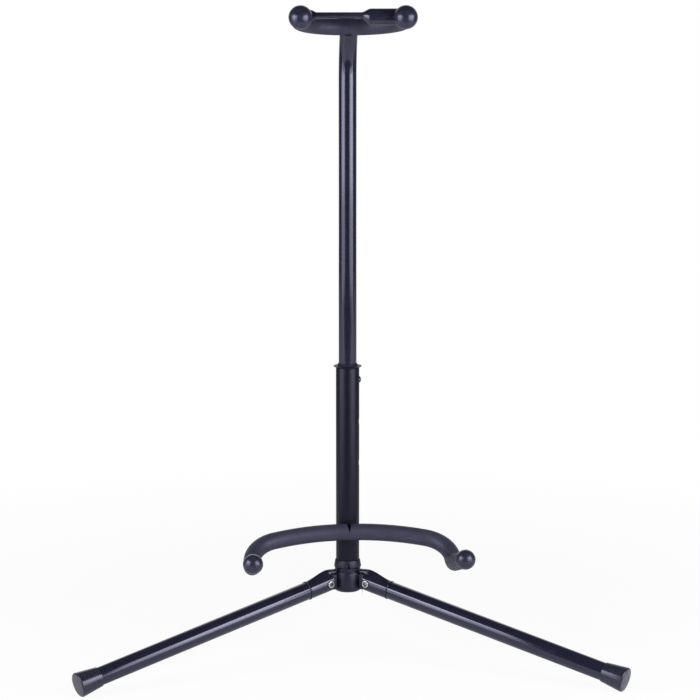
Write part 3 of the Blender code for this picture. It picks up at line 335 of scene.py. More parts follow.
def mottle(tree, shader, factor, dark, light):
    """Vary the colour a little between two codes."""
    mix = add(tree, "ShaderNodeMix", {"data_type": "RGBA"},
              {0: between(tree, factor, 0.0, 1.0), 6: srgb(dark), 7: srgb(light)})
    tree.links.new(mix.outputs[2], shader.inputs["Base Color"])


def gloss_enamel():
    """Black stoving enamel on drawn steel tube: glossy, with an orange peel a millimetre or two across."""
    material, tree, shader, at = start_material("black_stoving_enamel", "181829",
                                                {"Roughness": 0.14, "IOR": 1.65})
    mottle(tree, shader, noise(tree, at, 14.0 * MM, 3.0), "161625", "1b1b2d")
    roughen(tree, shader, noise(tree, at, 6.0 * MM, 4.0), 0.12, 0.17)
    bump(tree, shader, noise(tree, at, 1.6 * MM, 1.0), 0.004 * MM)
    return material


def satin_powder():
    """Black polyester powder coat: satin, with a fine cured grain under a millimetre across."""
    material, tree, shader, at = start_material("satin_powder_coat", "0e0e19",
                                                {"Roughness": 0.38, "IOR": 1.34})
    mottle(tree, shader, noise(tree, at, 9.0 * MM, 4.0), "0c0c17", "10101c")
    roughen(tree, shader, noise(tree, at, 3.0 * MM, 4.0), 0.35, 0.42)
    bump(tree, shader, noise(tree, at, 0.7 * MM, 2.0), 0.008 * MM)
    return material


def cast_enamel():
    """Enamel over a zinc die casting: glossy but not flat, because the casting's skin shows through."""
    material, tree, shader, at = start_material("enamelled_die_casting", "1a1a2a",
                                                {"Roughness": 0.13, "IOR": 1.6})
    mottle(tree, shader, noise(tree, at, 7.0 * MM, 3.0), "181827", "1e1e2e")
    roughen(tree, shader, noise(tree, at, 2.5 * MM, 4.0), 0.11, 0.16)
    bump(tree, shader, noise(tree, at, 2.4 * MM, 2.0), 0.005 * MM)
    return material


def rough_casting():
    """The hub's die casting, under a thinner and duller coat that its skin shows through."""
    material, tree, shader, at = start_material("dull_enamelled_casting", "191928",
                                                {"Roughness": 0.40, "IOR": 1.45})
    mottle(tree, shader, noise(tree, at, 7.0 * MM, 3.0), "171725", "1c1c2c")
    roughen(tree, shader, noise(tree, at, 2.5 * MM, 4.0), 0.37, 0.44)
    bump(tree, shader, noise(tree, at, 1.5 * MM, 2.0), 0.01 * MM)
    return material


def moulded_plastic():
    """Black acetal or nylon, injection moulded: semi-gloss with a faint spark-eroded grain."""
    material, tree, shader, at = start_material("moulded_black_nylon", "161623",
                                                {"Roughness": 0.42, "IOR": 1.5})
    mottle(tree, shader, noise(tree, at, 5.0 * MM, 3.0), "141420", "191927")
    roughen(tree, shader, noise(tree, at, 1.5 * MM, 3.0), 0.40, 0.50)
    bump(tree, shader, noise(tree, at, 0.5 * MM, 2.0), 0.01 * MM)
    return material


def sleeve_rubber():
    """Extruded soft PVC sleeve: matte satin, with a fine skin of pores and long, faint draw marks."""
    material, tree, shader, at = start_material("soft_pvc_sleeve", "2e2e3d",
                                                {"Roughness": 0.50, "IOR": 1.5})
    mottle(tree, shader, noise(tree, at, 11.0 * MM, 5.0), "2c2c3b", "323243")
    roughen(tree, shader, noise(tree, at, 4.0 * MM, 4.0), 0.46, 0.58)
    pores = bump(tree, shader, noise(tree, at, 0.6 * MM, 2.0), 0.02 * MM)
    bump(tree, shader, noise(tree, at, 5.0 * MM, 2.0), 0.05 * MM, pores.outputs["Normal"])
    return material


def cap_rubber():
    """Dipped and polished rubber cap: smooth and shiny, a little wavy."""
    material, tree, shader, at = start_material("polished_rubber_cap", "232333",
                                                {"Roughness": 0.24, "IOR": 1.55})
    mottle(tree, shader, noise(tree, at, 6.0 * MM, 3.0), "212131", "272739")
    roughen(tree, shader, noise(tree, at, 3.0 * MM, 3.0), 0.22, 0.30)
    bump(tree, shader, noise(tree, at, 3.0 * MM, 1.0), 0.01 * MM)
    return material


def strap_rubber():
    """Moulded synthetic rubber: glossy from a polished mould, with soft flow waves."""
    material, tree, shader, at = start_material("glossy_moulded_rubber", "1f1f2f",
                                                {"Roughness": 0.20, "IOR": 1.6})
    mottle(tree, shader, noise(tree, at, 8.0 * MM, 3.0), "1d1d2c", "252535")
    roughen(tree, shader, noise(tree, at, 4.0 * MM, 3.0), 0.15, 0.24)
    bump(tree, shader, noise(tree, at, 3.5 * MM, 1.0), 0.03 * MM)
    return material


def boot_rubber():
    """Moulded rubber boot: satin, with a faint random mottle."""
    material, tree, shader, at = start_material("moulded_rubber_boot", "20202d",
                                                {"Roughness": 0.28, "IOR": 1.55})
    mottle(tree, shader, noise(tree, at, 3.0 * MM, 5.0), "1e1e2a", "292937")
    roughen(tree, shader, noise(tree, at, 2.0 * MM, 5.0), 0.17, 0.24)
    bump(tree, shader, noise(tree, at, 1.2 * MM, 2.0), 0.008 * MM)
    return material


def bright_plating():
    """Nickel plated steel: mirror bright, with fine handling marks."""
    material, tree, shader, at = start_material("nickel_plated_steel", "d6d4d8",
                                                {"Metallic": 1.0, "Roughness": 0.12})
    roughen(tree, shader, noise(tree, at, 0.8 * MM, 4.0), 0.08, 0.20)
    bump(tree, shader, noise(tree, at, 1.0 * MM, 2.0), 0.01 * MM)
    return material


def zinc_plating():
    """Zinc plated steel: grey, semi-bright, a little cloudy."""
    material, tree, shader, at = start_material("zinc_plated_steel", "a9abae",
                                                {"Metallic": 1.0, "Roughness": 0.32})
    mottle(tree, shader, noise(tree, at, 2.0 * MM, 4.0), "9b9da1", "b4b6b8")
    roughen(tree, shader, noise(tree, at, 1.2 * MM, 4.0), 0.24, 0.42)
    return material


def drawn_steel():
    """Cold drawn steel rod, oiled: dark grey with lines along it finer than the render shows."""
    material, tree, shader, at = start_material("cold_drawn_steel", "6d6e72",
                                                {"Metallic": 1.0, "Roughness": 0.35})
    mottle(tree, shader, noise(tree, at, 3.0 * MM, 4.0), "5d5e63", "76777a")
    roughen(tree, shader, noise(tree, at, 1.5 * MM, 4.0), 0.28, 0.44)
    return material


def spring_strip():
    """Blued spring steel strip."""
    material, tree, shader, at = start_material("blued_spring_steel", "565a66",
                                                {"Metallic": 1.0, "Roughness": 0.28})
    mottle(tree, shader, noise(tree, at, 4.0 * MM, 3.0), "4c505d", "616572")
    return material


FINISHES = {
    "gloss_paint": gloss_enamel(), "satin_paint": satin_powder(), "knuckle_paint": cast_enamel(),
    "black_plastic": moulded_plastic(), "sleeve_foam": sleeve_rubber(), "cap_rubber": cap_rubber(),
    "strap_rubber": strap_rubber(), "boot_rubber": boot_rubber(), "bright_steel": bright_plating(),
    "zinc_steel": zinc_plating(), "rod_steel": drawn_steel(), "spring_steel": spring_strip(),
    "cast_hub": rough_casting()}


# Shapes


def work(name, bm, place):
    """A working object, finished by settle."""
    bmesh.ops.recalc_face_normals(bm, faces=bm.faces)
    mesh = bpy.data.meshes.new(name)
    bm.to_mesh(mesh)
    bm.free()
    shape = bpy.data.objects.new(name, mesh)
    bpy.context.scene.collection.objects.link(shape)
    shape.matrix_world = place
    return shape


spent_tools = []


def shape_by(shape, tool, operation="DIFFERENCE"):
    """Cut a form by a tool, or join the tool to it. The tools are removed at the end."""
    modifier = shape.modifiers.new("shape", "BOOLEAN")
    modifier.operation = operation
    modifier.solver = "EXACT"
    modifier.object = tool
    spent_tools.append(tool)


def soften(shape, width, segments=3, angle=35.0):
    """Round the edges that are sharper than an angle."""
    modifier = shape.modifiers.new("soften", "BEVEL")
    modifier.width = width
    modifier.segments = segments
    modifier.limit_method = "ANGLE"
    modifier.angle_limit = math.radians(angle)
    modifier.use_clamp_overlap = False


def hollow(shape, wall):
    """Give a swept tube its wall, inwards."""
    modifier = shape.modifiers.new("wall", "SOLIDIFY")
    modifier.thickness = wall
    modifier.offset = -1.0
    modifier.use_rim = True


def settle(shape, body, nodes, material=None):
    """Bake a working object into a plain piece at the origin, and put it on its body."""
    bpy.context.view_layer.update()
    depsgraph = bpy.context.evaluated_depsgraph_get()
    mesh = bpy.data.meshes.new_from_object(shape.evaluated_get(depsgraph))
    mesh.transform(shape.matrix_world)
    name = shape.name
    bpy.data.objects.remove(shape, do_unlink=True)
    mesh.name = name
    if material:
        mesh.materials.clear()
        mesh.materials.append(material)
    mesh.shade_smooth()
    mesh.set_sharp_from_angle(angle=SMOOTH_ANGLE)
    piece = bpy.data.objects.new(name, mesh)
    bpy.context.scene.collection.objects.link(piece)
    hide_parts(*nodes)
    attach(piece, body)
    return piece


def turned(profile, sides=ROUND):
    """Spin (radius, height) points about local Z. A profile that stays off the axis is closed."""
    bm = bmesh.new()
    verts = [bm.verts.new((radius, 0.0, height)) for radius, height in profile]
    edges = [bm.edges.new(pair) for pair in zip(verts, verts[1:])]
    if profile[0][0] > 0.0:
        edges.append(bm.edges.new((verts[-1], verts[0])))
    bmesh.ops.spin(bm, geom=verts + edges, cent=(0.0, 0.0, 0.0), axis=Z_AXIS, steps=sides,
                   angle=2.0 * math.pi)
    bmesh.ops.remove_doubles(bm, verts=bm.verts, dist=1e-6)
    return bm


def prism(outline, half_depth):
    """Extrude an outline of (x, z) points to both sides of the plane y = 0."""
    bm = bmesh.new()
    face = bm.faces.new([bm.verts.new((x, -half_depth, z)) for x, z in outline])
    extruded = bmesh.ops.extrude_face_region(bm, geom=[face])
    moved = [item for item in extruded["geom"] if isinstance(item, bmesh.types.BMVert)]
    bmesh.ops.translate(bm, verts=moved, vec=(0.0, 2.0 * half_depth, 0.0))
    return bm


def bar(radius, start, end, sides=48):
    """A round bar between two points."""
    bm = bmesh.new()
    run = Vector(end) - Vector(start)
    turn = run.to_track_quat("Z", "Y").to_matrix().to_4x4()
    middle = Matrix.Translation((Vector(start) + Vector(end)) / 2.0)
    bmesh.ops.create_cone(bm, cap_ends=True, segments=sides, radius1=radius, radius2=radius,
                          depth=run.length, matrix=middle @ turn)
    return bm


def arc(centre, radius, start, end, count):
    """Points of an arc round a centre, in the plane of an outline or a profile."""
    angles = [start + (end - start) * k / count for k in range(count + 1)]
    return [(centre[0] + radius * math.cos(a), centre[1] + radius * math.sin(a)) for a in angles]


def skin(rings):
    """Skin rings of points, with flat ends."""
    bm = bmesh.new()
    loops = [[bm.verts.new(point) for point in ring] for ring in rings]
    bm.faces.new(loops[0])
    bm.faces.new(loops[-1])
    for near, far in zip(loops, loops[1:]):
        for k in range(len(near)):
            after = (k + 1) % len(near)
            bm.faces.new((near[k], near[after], far[after], far[k]))
    return bm


class Route:
    """The centreline of a bent tube or rod, laid out in straight runs and arcs."""

    def __init__(self, start, heading):
        self.points = [Vector(start)]
        self.heading = Vector(heading).normalized()

    def run(self, length):
        """A straight run."""
        self.points.append(self.points[-1] + self.heading * length)
        return self

    def bend(self, radius, angle, axis):
        """An arc that turns the heading by an angle about an axis."""
        axis = Vector(axis).normalized()
        start = self.points[-1]
        centre = start + axis.cross(self.heading) * radius
        count = max(3, math.ceil(abs(angle) / FINE_STEP))
        for k in range(1, count + 1):
            self.points.append(centre + Matrix.Rotation(angle * k / count, 3, axis) @ (start - centre))
        self.heading = Matrix.Rotation(angle, 3, axis) @ self.heading
        return self


def mirrored(points):
    """The same route on the other side."""
    return [Vector((-p.x, p.y, p.z)) for p in points]


def trimmed(points, length):
    """Drop a length from the end of a route."""
    kept = list(points)
    while (kept[-1] - kept[-2]).length <= length:
        length -= (kept[-1] - kept[-2]).length
        kept.pop()
    last = kept[-1] - kept[-2]
    kept[-1] = kept[-2] + last.normalized() * (last.length - length)
    return kept


def sweep_tree():
    """Geometry nodes: sweep a round section along a route of edges, and cover it."""
    tree = bpy.data.node_groups.new("sweep_round_section", "GeometryNodeTree")
    face = tree.interface
    face.new_socket("Route", in_out="INPUT", socket_type="NodeSocketGeometry")
    face.new_socket("Radius", in_out="INPUT", socket_type="NodeSocketFloat")
    face.new_socket("Sides", in_out="INPUT", socket_type="NodeSocketInt")
    face.new_socket("Closed Ends", in_out="INPUT", socket_type="NodeSocketBool")
    face.new_socket("Finish", in_out="INPUT", socket_type="NodeSocketMaterial")
    face.new_socket("Piece", in_out="OUTPUT", socket_type="NodeSocketGeometry")
    given = add(tree, "NodeGroupInput")
    curve = add(tree, "GeometryNodeMeshToCurve", None, {"Mesh": given.outputs["Route"]})
    section = add(tree, "GeometryNodeCurvePrimitiveCircle", None,
                  {"Radius": given.outputs["Radius"], "Resolution": given.outputs["Sides"]})
    sweep = add(tree, "GeometryNodeCurveToMesh", None,
                {"Curve": curve, "Profile Curve": section, "Fill Caps": given.outputs["Closed Ends"]})
    real = add(tree, "GeometryNodeRealizeInstances", None, {"Geometry": sweep})
    covered = add(tree, "GeometryNodeSetMaterial", None,
                  {"Geometry": real, "Material": given.outputs["Finish"]})
    add(tree, "NodeGroupOutput", None, {"Piece": covered})
    return tree


SWEEP = sweep_tree()


def give_inputs(modifier, values):
    """Set a geometry nodes modifier's inputs by their sockets' identifiers."""
    for item in modifier.node_group.interface.items_tree:
        if item.item_type == "SOCKET" and item.in_out == "INPUT" and item.name in values:
            modifier[item.identifier] = values[item.name]


def swept(name, points, place, radius, finish, closed=False, sides=ROUND):
    """A round section swept along a route by the geometry nodes tree."""
    mesh = bpy.data.meshes.new(name)
    mesh.from_pydata(points, [(k, k + 1) for k in range(len(points) - 1)], [])
    shape = bpy.data.objects.new(name, mesh)
    bpy.context.scene.collection.objects.link(shape)
    shape.matrix_world = place
    modifier = shape.modifiers.new("sweep", "NODES")
    modifier.node_group = SWEEP
    give_inputs(modifier, {"Radius": radius, "Sides": sides, "Closed Ends": closed, "Finish": finish})
    return shape


def make_lower_tube():
    """The fixed mast tube, with the holes of the height catch."""
    points = [Vector((0.0, 0.0, TUBE_FOOT)), Vector((0.0, 0.0, TUBE_TOP))]
    tube = swept("lower_tube_coat", points, MAST, LOWER_RADIUS, FINISHES["satin_paint"])
    hollow(tube, TUBE_WALL)
    soften(tube, LOWER_TUBE_EDGE)
    for k in range(HOLE_COUNT):
        height = BUTTON_Z - HOLE_PITCH * k
        hole = bar(BUTTON_RADIUS + 2.0 * GAP, (SPIGOT_RADIUS / 2.0, 0.0, height),
                   (2.0 * LOWER_RADIUS, 0.0, height))
        shape_by(tube, work("height_hole", hole, MAST))
    settle(tube, "base", ["lower_tube"])


def make_stop_collar():
    """The split collar on the foot of the lower tube."""
    foot, top = COLLAR_FOOT, COLLAR_TOP
    bore = LOWER_RADIUS + GAP
    lip = SPIGOT_RADIUS + GAP
    edge = 0.8 * MM
    chamfer = (0.25 * MM, 0.3 * MM)
    profile = [(lip, foot), (COLLAR_RADIUS - edge, foot)]
    profile += arc((COLLAR_RADIUS - edge, foot + edge), edge, -math.pi / 2.0, 0.0, 5)[1:]
    profile += [(COLLAR_TOP_RADIUS, top - chamfer[1]), (COLLAR_TOP_RADIUS - chamfer[0], top), (bore, top),
                (bore, foot + COLLAR_LIP), (lip, foot + COLLAR_LIP)]
    collar = work("stop_collar_moulding", turned(profile), MAST)
    wide, narrow = SLIT_WIDTH[0] / 2.0, SLIT_WIDTH[1] / 2.0
    outline = [(-wide, -COLLAR_LIP), (wide, -COLLAR_LIP), (wide, 0.0), (narrow, SLIT_HEIGHT)]
    outline += [(-narrow, SLIT_HEIGHT), (-wide, 0.0)]
    place = MAST @ Matrix.Translation((0.0, -COLLAR_RADIUS, foot))
    shape_by(collar, work("slit", prism(outline, COLLAR_RADIUS / 2.0), place))
    settle(collar, "base", ["stop_collar"], FINISHES["black_plastic"])


def make_mast_bush():
    """The flanged bush in the mouth of the lower tube, with its thin lip."""
    seat = TUBE_TOP + GAP
    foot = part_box("mast_bush")[0][2]
    rim = BUSH_RIM_RADIUS
    bore = BUSH_BORE
    edge = 0.25 * MM
    chamfer = (0.15 * MM, 0.2 * MM)
    lip_top = RIM_Z + BUSH_LIP_RISE
    profile = [(bore, foot), (BUSH_SLEEVE_RADIUS, foot), (BUSH_SLEEVE_RADIUS, seat), (LOWER_RADIUS, seat),
               (rim - edge, RIM_Z - BUSH_RIM_THICKNESS), (rim, RIM_Z - BUSH_RIM_THICKNESS + edge),
               (rim, RIM_Z - edge), (rim - edge, RIM_Z), (bore + BUSH_LIP_FOOT + edge, RIM_Z),
               (bore + BUSH_LIP_FOOT, RIM_Z + edge), (bore + BUSH_LIP_WALL, lip_top - chamfer[1]),
               (bore + BUSH_LIP_WALL - chamfer[0], lip_top), (bore + chamfer[0], lip_top),
               (bore, lip_top - chamfer[1])]
    bush = work("mast_bush_moulding", turned(profile), MAST)
    hole = bar(BUTTON_RADIUS + 2.0 * GAP, (BUTTON_FLANGE_X[1], 0.0, BUTTON_Z),
               (2.0 * LOWER_RADIUS, 0.0, BUTTON_Z))
    shape_by(bush, work("bush_hole", hole, MAST))
    settle(bush, "base", ["mast_bush"], FINISHES["black_plastic"])


def make_hub():
    """The hub's core and spigot, with the bolt's seat and a lug for each leg."""
    bore = BOLT_RADIUS + GAP
    seat = BOLT_HEAD_RADIUS + GAP
    seat_top = -HUB_BOTTOM + BOLT_HEAD_HEIGHT + BOLT_SEAT_ROOM
    edge = 0.3 * MM
    rounded = arc((HUB_RADIUS - HUB_ROUND, HUB_ROUND - HUB_BOTTOM), HUB_ROUND, -math.pi / 2.0, 0.0, 8)
    profile = [(seat, -HUB_BOTTOM + edge), (seat + edge, -HUB_BOTTOM)] + rounded
    profile += [(HUB_RADIUS, HUB_SHOULDER - edge), (HUB_RADIUS - edge / 2.0, HUB_SHOULDER), HUB_TOP,
                (HUB_NECK_RADIUS, HUB_TOP[1]), (HUB_NECK_RADIUS, HUB_NECK_TOP)]
    spigot_end = SPIGOT_TOP - PIVOT_Z
    profile += [(SPIGOT_RADIUS, HUB_NECK_TOP), (SPIGOT_RADIUS, spigot_end), (bore, spigot_end)]
    profile += [(bore, seat_top), (seat, seat_top)]
    place = Matrix.Translation(mast_foot + Z_AXIS * PIVOT_Z)
    hub = work("hub_casting", turned(profile), place)
    root = seat + LUG_ROOT_CLEAR - PIVOT_RADIUS
    outline = [(root, -LUG_RADIUS)]
    outline += arc((0.0, 0.0), LUG_RADIUS, -math.pi / 2.0, math.pi / 2.0, 24)
    outline += [(root, LUG_RADIUS)]
    for name in LEGS:
        lug = work("lug_" + name, prism(outline, LUG_HALF), leg_place(name))
        soften(lug, edge, 2)
        shape_by(hub, lug, "UNION")
        hole = bar(RIVET_RADIUS + GAP, (0.0, -HUB_RADIUS, 0.0), (0.0, HUB_RADIUS, 0.0), 32)
        shape_by(hub, work("lug_hole", hole, leg_place(name)))
    settle(hub, "base", ["hub"], FINISHES["cast_hub"])


def make_hub_bolt():
    """The socket screw that holds the mast down on the hub."""
    low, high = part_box("hub_bolt")
    head = BOLT_HEAD_HEIGHT
    edge = 0.5 * MM
    length = high[2] - low[2]
    profile = [(0.0, 0.0), (BOLT_HEAD_RADIUS - edge, 0.0), (BOLT_HEAD_RADIUS, edge)]
    profile += [(BOLT_HEAD_RADIUS, head), (BOLT_RADIUS, head), (BOLT_RADIUS, length), (0.0, length)]
    place = Matrix.Translation(mast_foot + Z_AXIS * low[2])
    bolt = work("hub_bolt_screw", turned(profile, 48), place)
    key = bar(HEX_KEY_RADIUS, (0.0, 0.0, -HEX_KEY_DEPTH), (0.0, 0.0, HEX_KEY_DEPTH), 6)
    shape_by(bolt, work("key_socket", key, place))
    settle(bolt, "base", ["hub_bolt"], FINISHES["zinc_steel"])


def upper_route():
    """Centreline of the upper tube, up to the middle of the yoke's rod."""
    route = Route((0.0, 0.0, UPPER_FOOT), Z_AXIS)
    route.run(RIM_Z + TOP_BEND_START - UPPER_FOOT)
    route.bend(TOP_BEND_RADIUS, TOP_BEND_ANGLE, X_AXIS)
    return route.run(TOP_RUN)


def make_upper_tube():
    """The sliding mast tube, with the button's hole."""
    points = trimmed(upper_route().points, TUBE_END_DROP)
    tube = swept("upper_tube_coat", points, UPPER, UPPER_RADIUS, FINISHES["gloss_paint"])
    hollow(tube, TUBE_WALL)
    soften(tube, THIN_TUBE_EDGE)
    hole = bar(BUTTON_RADIUS + GAP, (BUTTON_FLANGE_X[0], 0.0, BUTTON_Z),
               (2.0 * LOWER_RADIUS, 0.0, BUTTON_Z))
    shape_by(tube, work("button_hole", hole, MAST))
    settle(tube, "upper_mast", ["upper_tube"])


def make_snap_button():
    """The catch's button. It shows dark in the photograph, so it has the blued finish."""
    inner, outer = BUTTON_FLANGE_X
    tip = LOWER_RADIUS + BUTTON_PROUD
    crown = [(BUTTON_RADIUS * math.cos(a), tip - BUTTON_CROWN * (1.0 - math.sin(a)))
             for a in [math.pi / 2.0 * k / 16.0 for k in range(16)]]
    profile = [(0.0, inner), (BUTTON_FLANGE_RADIUS, inner), (BUTTON_FLANGE_RADIUS, outer),
               (BUTTON_RADIUS, outer)] + crown + [(0.0, tip)]
    place = MAST @ Matrix.Translation((0.0, 0.0, BUTTON_Z)) @ Matrix.Rotation(math.pi / 2.0, 4, "Y")
    button = work("snap_button_head", turned(profile, 64), place)
    settle(button, "snap_button", ["snap_button"], FINISHES["spring_steel"])


def superellipse(exponent, sides):
    """(across, upward) points of a unit superellipse, rounder as its exponent nears 2."""
    points = []
    for k in range(sides):
        angle = 2.0 * math.pi * k / sides
        across, upward = math.cos(angle), math.sin(angle)
        points.append((math.copysign(abs(across) ** (2.0 / exponent), across),
                       math.copysign(abs(upward) ** (2.0 / exponent), upward)))
    return points


def upright_ring(top, bottom, half_width, exponent, sides):
    """A section between a top and a bottom point of the x-z plane."""
    middle = (top + bottom) / 2.0
    half = (top - bottom) / 2.0
    return [middle + half * upward + Y_AXIS * half_width * across
            for across, upward in superellipse(exponent, sides)]


def knuckle_rings(steps=28, sides=80):
    """Round sections of a knuckle from the hub to the tube, whose tops are drawn up towards the hub."""
    along = Vector((math.cos(LEG_SLOPE), 0.0, -math.sin(LEG_SLOPE)))
    square = Vector((math.sin(LEG_SLOPE), 0.0, math.cos(LEG_SLOPE)))
    start = along * (-KNUCKLE_NOSE / along.x)
    end = along * (KNUCKLE_LENGTH - KNUCKLE_LIP_LENGTH)
    end_top = end + square * KNUCKLE_RADIUS
    fall = end_top.x - KNUCKLE_FLAT_END
    rings = []
    spread = math.tan(LEG_SLOPE) * fall
    for k in range(steps + 1):
        middle = start.lerp(end, k / steps)
        up = Z_AXIS.lerp(square, k / steps).normalized()
        half = KNUCKLE_RADIUS / up.dot(square)
        t = max(0.0, (middle.x + up.x * half - KNUCKLE_FLAT_END) / fall)
        ease = 3.0 * t ** 2 - 2.0 * t ** 3
        top = KNUCKLE_TOP * (1.0 - ease) + end_top.z * ease - spread * (t ** 3 - t ** 2)
        rise = (top - middle.z) / up.z - half
        ring = []
        for n in range(sides):
            angle = 2.0 * math.pi * n / sides
            upward = math.sin(angle)
            height = upward * (half + rise * max(0.0, upward) ** KNUCKLE_DOME)
            ring.append(middle + Y_AXIS * KNUCKLE_RADIUS * math.cos(angle) + up * height)
        rings.append(ring)
    spigot = LEG_RADIUS - TUBE_WALL - GAP
    lip = KNUCKLE_RADIUS + KNUCKLE_LIP
    edge = 0.2 * MM
    turns = [(KNUCKLE_LENGTH - KNUCKLE_LIP_LENGTH + edge, lip - edge / 2.0),
             (KNUCKLE_LENGTH - KNUCKLE_LIP_LENGTH + 2.0 * edge, lip), (KNUCKLE_LENGTH - edge, lip),
             (KNUCKLE_LENGTH, lip - edge), (KNUCKLE_LENGTH, spigot),
             (KNUCKLE_LENGTH + KNUCKLE_SPIGOT_LENGTH, spigot)]
    for distance, size in turns:
        middle = along * distance
        rings.append(upright_ring(middle + square * size, middle - square * size, size, 2.0, sides))
    return rings


def make_knuckle(name):
    """A leg's forked casting, slotted for its lug on the hub."""
    place = leg_place(name)
    knuckle = work("leg_knuckle_casting_" + name, skin(knuckle_rings()), place)
    tip_length, tip_share = TONGUE_TIP
    tongue = []
    for x, share in ((-TONGUE_END, tip_share), (-TONGUE_END + tip_length, 1.0), (0.0, 1.0)):
        top, bottom = Vector((x, 0.0, KNUCKLE_TOP - GAP)), Vector((x, 0.0, LUG_RADIUS + GAP))
        tongue.append(upright_ring(top, bottom, TONGUE_HALF * share, TONGUE_SQUARENESS, 40))
    shape_by(knuckle, work("tongue", skin(tongue), place), "UNION")
    slot = LUG_RADIUS + SLOT_CLEARANCE
    clear = 2.0 * KNUCKLE_TOP
    outline = [(-clear, -clear), (slot, -clear)] + arc((0.0, 0.0), slot, 0.0, math.pi / 2.0, 20)
    outline += [(0.0, LUG_RADIUS + GAP), (-clear, LUG_RADIUS + GAP)]
    shape_by(knuckle, work("fork", prism(outline, LUG_HALF + GAP), place))
    reach = 2.0 * KNUCKLE_RADIUS
    hole = bar(RIVET_RADIUS + GAP, (0.0, -reach, 0.0), (0.0, reach, 0.0), 32)
    shape_by(knuckle, work("rivet_hole", hole, place))
    for side in (-1.0, 1.0):
        spot = bar(RIVET_HEAD_RADIUS + GAP, (0.0, side * (RIVET_SEAT - GAP), 0.0),
                   (0.0, side * reach, 0.0), 64)
        shape_by(knuckle, work("spot_face", spot, place))
    soften(knuckle, KNUCKLE_EDGE, angle=40.0)
    settle(knuckle, "leg_" + name, ["leg_knuckle_" + name], FINISHES["knuckle_paint"])


def make_rivet(name):
    """A leg's eyelet rivet: a tube with a rolled ring at each end."""
    seat, crown = RIVET_SEAT, RIVET_SEAT + RIVET_HEAD
    roll = RIVET_HEAD / 2.0
    outer = arc((RIVET_HEAD_RADIUS - roll, seat + roll), roll, 0.0, math.pi / 2.0, 6)
    inner = [(RIVET_HEAD_RADIUS - 2.0 * roll, crown), (RIVET_BORE + roll / 2.0, crown - roll / 2.0),
             (RIVET_BORE, crown - 1.5 * roll)]
    half = [(RIVET_RADIUS, seat), (RIVET_HEAD_RADIUS, seat)] + outer + inner
    profile = [(radius, -height) for radius, height in half[::-1]] + half
    profile += [(RIVET_BORE, seat * 0.9), (RIVET_BORE, -seat * 0.9)]
    place = leg_place(name) @ Matrix.Rotation(math.pi / 2.0, 4, "X")
    rivet = work("leg_rivet_eyelet_" + name, turned(profile, 64), place)
    settle(rivet, "leg_" + name, ["leg_rivet_" + name], FINISHES["bright_steel"])


def make_leg_tube(name):
    """A leg's tube, from its knuckle to the floor of its boot."""
    start = KNUCKLE_LENGTH + GAP
    end = LEG_LENGTH - BOOT_FLOOR - GAP
    tube = swept("leg_tube_coat_" + name, [X_AXIS * start, X_AXIS * end], sloped(name), LEG_RADIUS,
                 FINISHES["gloss_paint"])
    hollow(tube, TUBE_WALL)
    soften(tube, THIN_TUBE_EDGE)
    settle(tube, "leg_" + name, ["leg_tube_" + name])


def make_boot(name):
    """A leg's rubber boot, with a flat where it stands."""
    mouth, end = LEG_LENGTH - BOOT_LENGTH, LEG_LENGTH
    edge = 0.1 * MM
    profile = [(0.0, end - BOOT_FLOOR), (BOOT_BORE, end - BOOT_FLOOR), (BOOT_BORE, mouth + edge),
               (BOOT_BORE + edge, mouth), (BOOT_MOUTH - 2.0 * edge, mouth), (BOOT_MOUTH, mouth + 2.0 * edge)]
    profile += arc((BOOT_RADIUS - BOOT_ROUND, end - BOOT_ROUND), BOOT_ROUND, 0.0, math.pi / 2.0, 10)
    profile += [(0.0, end)]
    place = sloped(name) @ Matrix.Rotation(math.pi / 2.0, 4, "Y")
    boot = work("foot_boot_" + name, turned(profile), place)
    reach = BOOT_LENGTH
    corners = [(-reach, -reach), (reach, -reach), (reach, 0.0), (-reach, 0.0)]
    foot = leg_place(name) @ Matrix.Translation((FOOT_REACH - PIVOT_RADIUS, 0.0, -PIVOT_Z))
    shape_by(boot, work("floor_cut", prism(corners, reach), foot))
    settle(boot, "leg_" + name, ["foot_cap_" + name], FINISHES["boot_rubber"])


def make_ball_cap(piece, node, place, centre, direction, radius, seat_radius, body):
    """A round cap with a blind bore, on the end of a rod."""
    bore = ROD_RADIUS + GAP
    back = -math.sqrt(radius ** 2 - seat_radius ** 2)
    ball = arc((0.0, 0.0), radius, math.atan2(back, seat_radius), math.pi / 2.0, 40)
    profile = [(0.0, GAP), (bore, GAP), (bore, back)] + ball[:-1] + [(0.0, radius)]
    turn = direction.to_track_quat("Z", "Y").to_matrix().to_4x4()
    cap = work(piece, turned(profile, 64), place @ Matrix.Translation(centre) @ turn)
    settle(cap, body, [node], FINISHES["cap_rubber"])


def make_sleeve(piece, points, short, place, side, tools):
    """A soft sleeve from the middle of a rod to its cap. It is cut square where it meets the other."""
    first = points[0] - X_AXIS * side * CUT_CLEAR
    sleeve = swept(piece, trimmed([first] + points[1:], short), place, SLEEVE_RADIUS,
                   FINISHES["sleeve_foam"], sides=72)
    hollow(sleeve, SLEEVE_RADIUS - SLEEVE_BORE)
    soften(sleeve, SLEEVE_EDGE, 4)
    near, far = sorted((side * SEAM_HALF, -side * 2.0 * CUT_CLEAR))
    high, low = points[0].z + 2.0 * SLEEVE_RADIUS, points[0].z - 2.0 * SLEEVE_RADIUS
    half = prism([(near, low), (far, low), (far, high), (near, high)], 2.0 * SLEEVE_RADIUS)
    middle = place @ Matrix.Translation((0.0, points[0].y, 0.0))
    for tool in [work("middle_form", half, middle)] + tools:
        shape_by(sleeve, tool)
    return sleeve


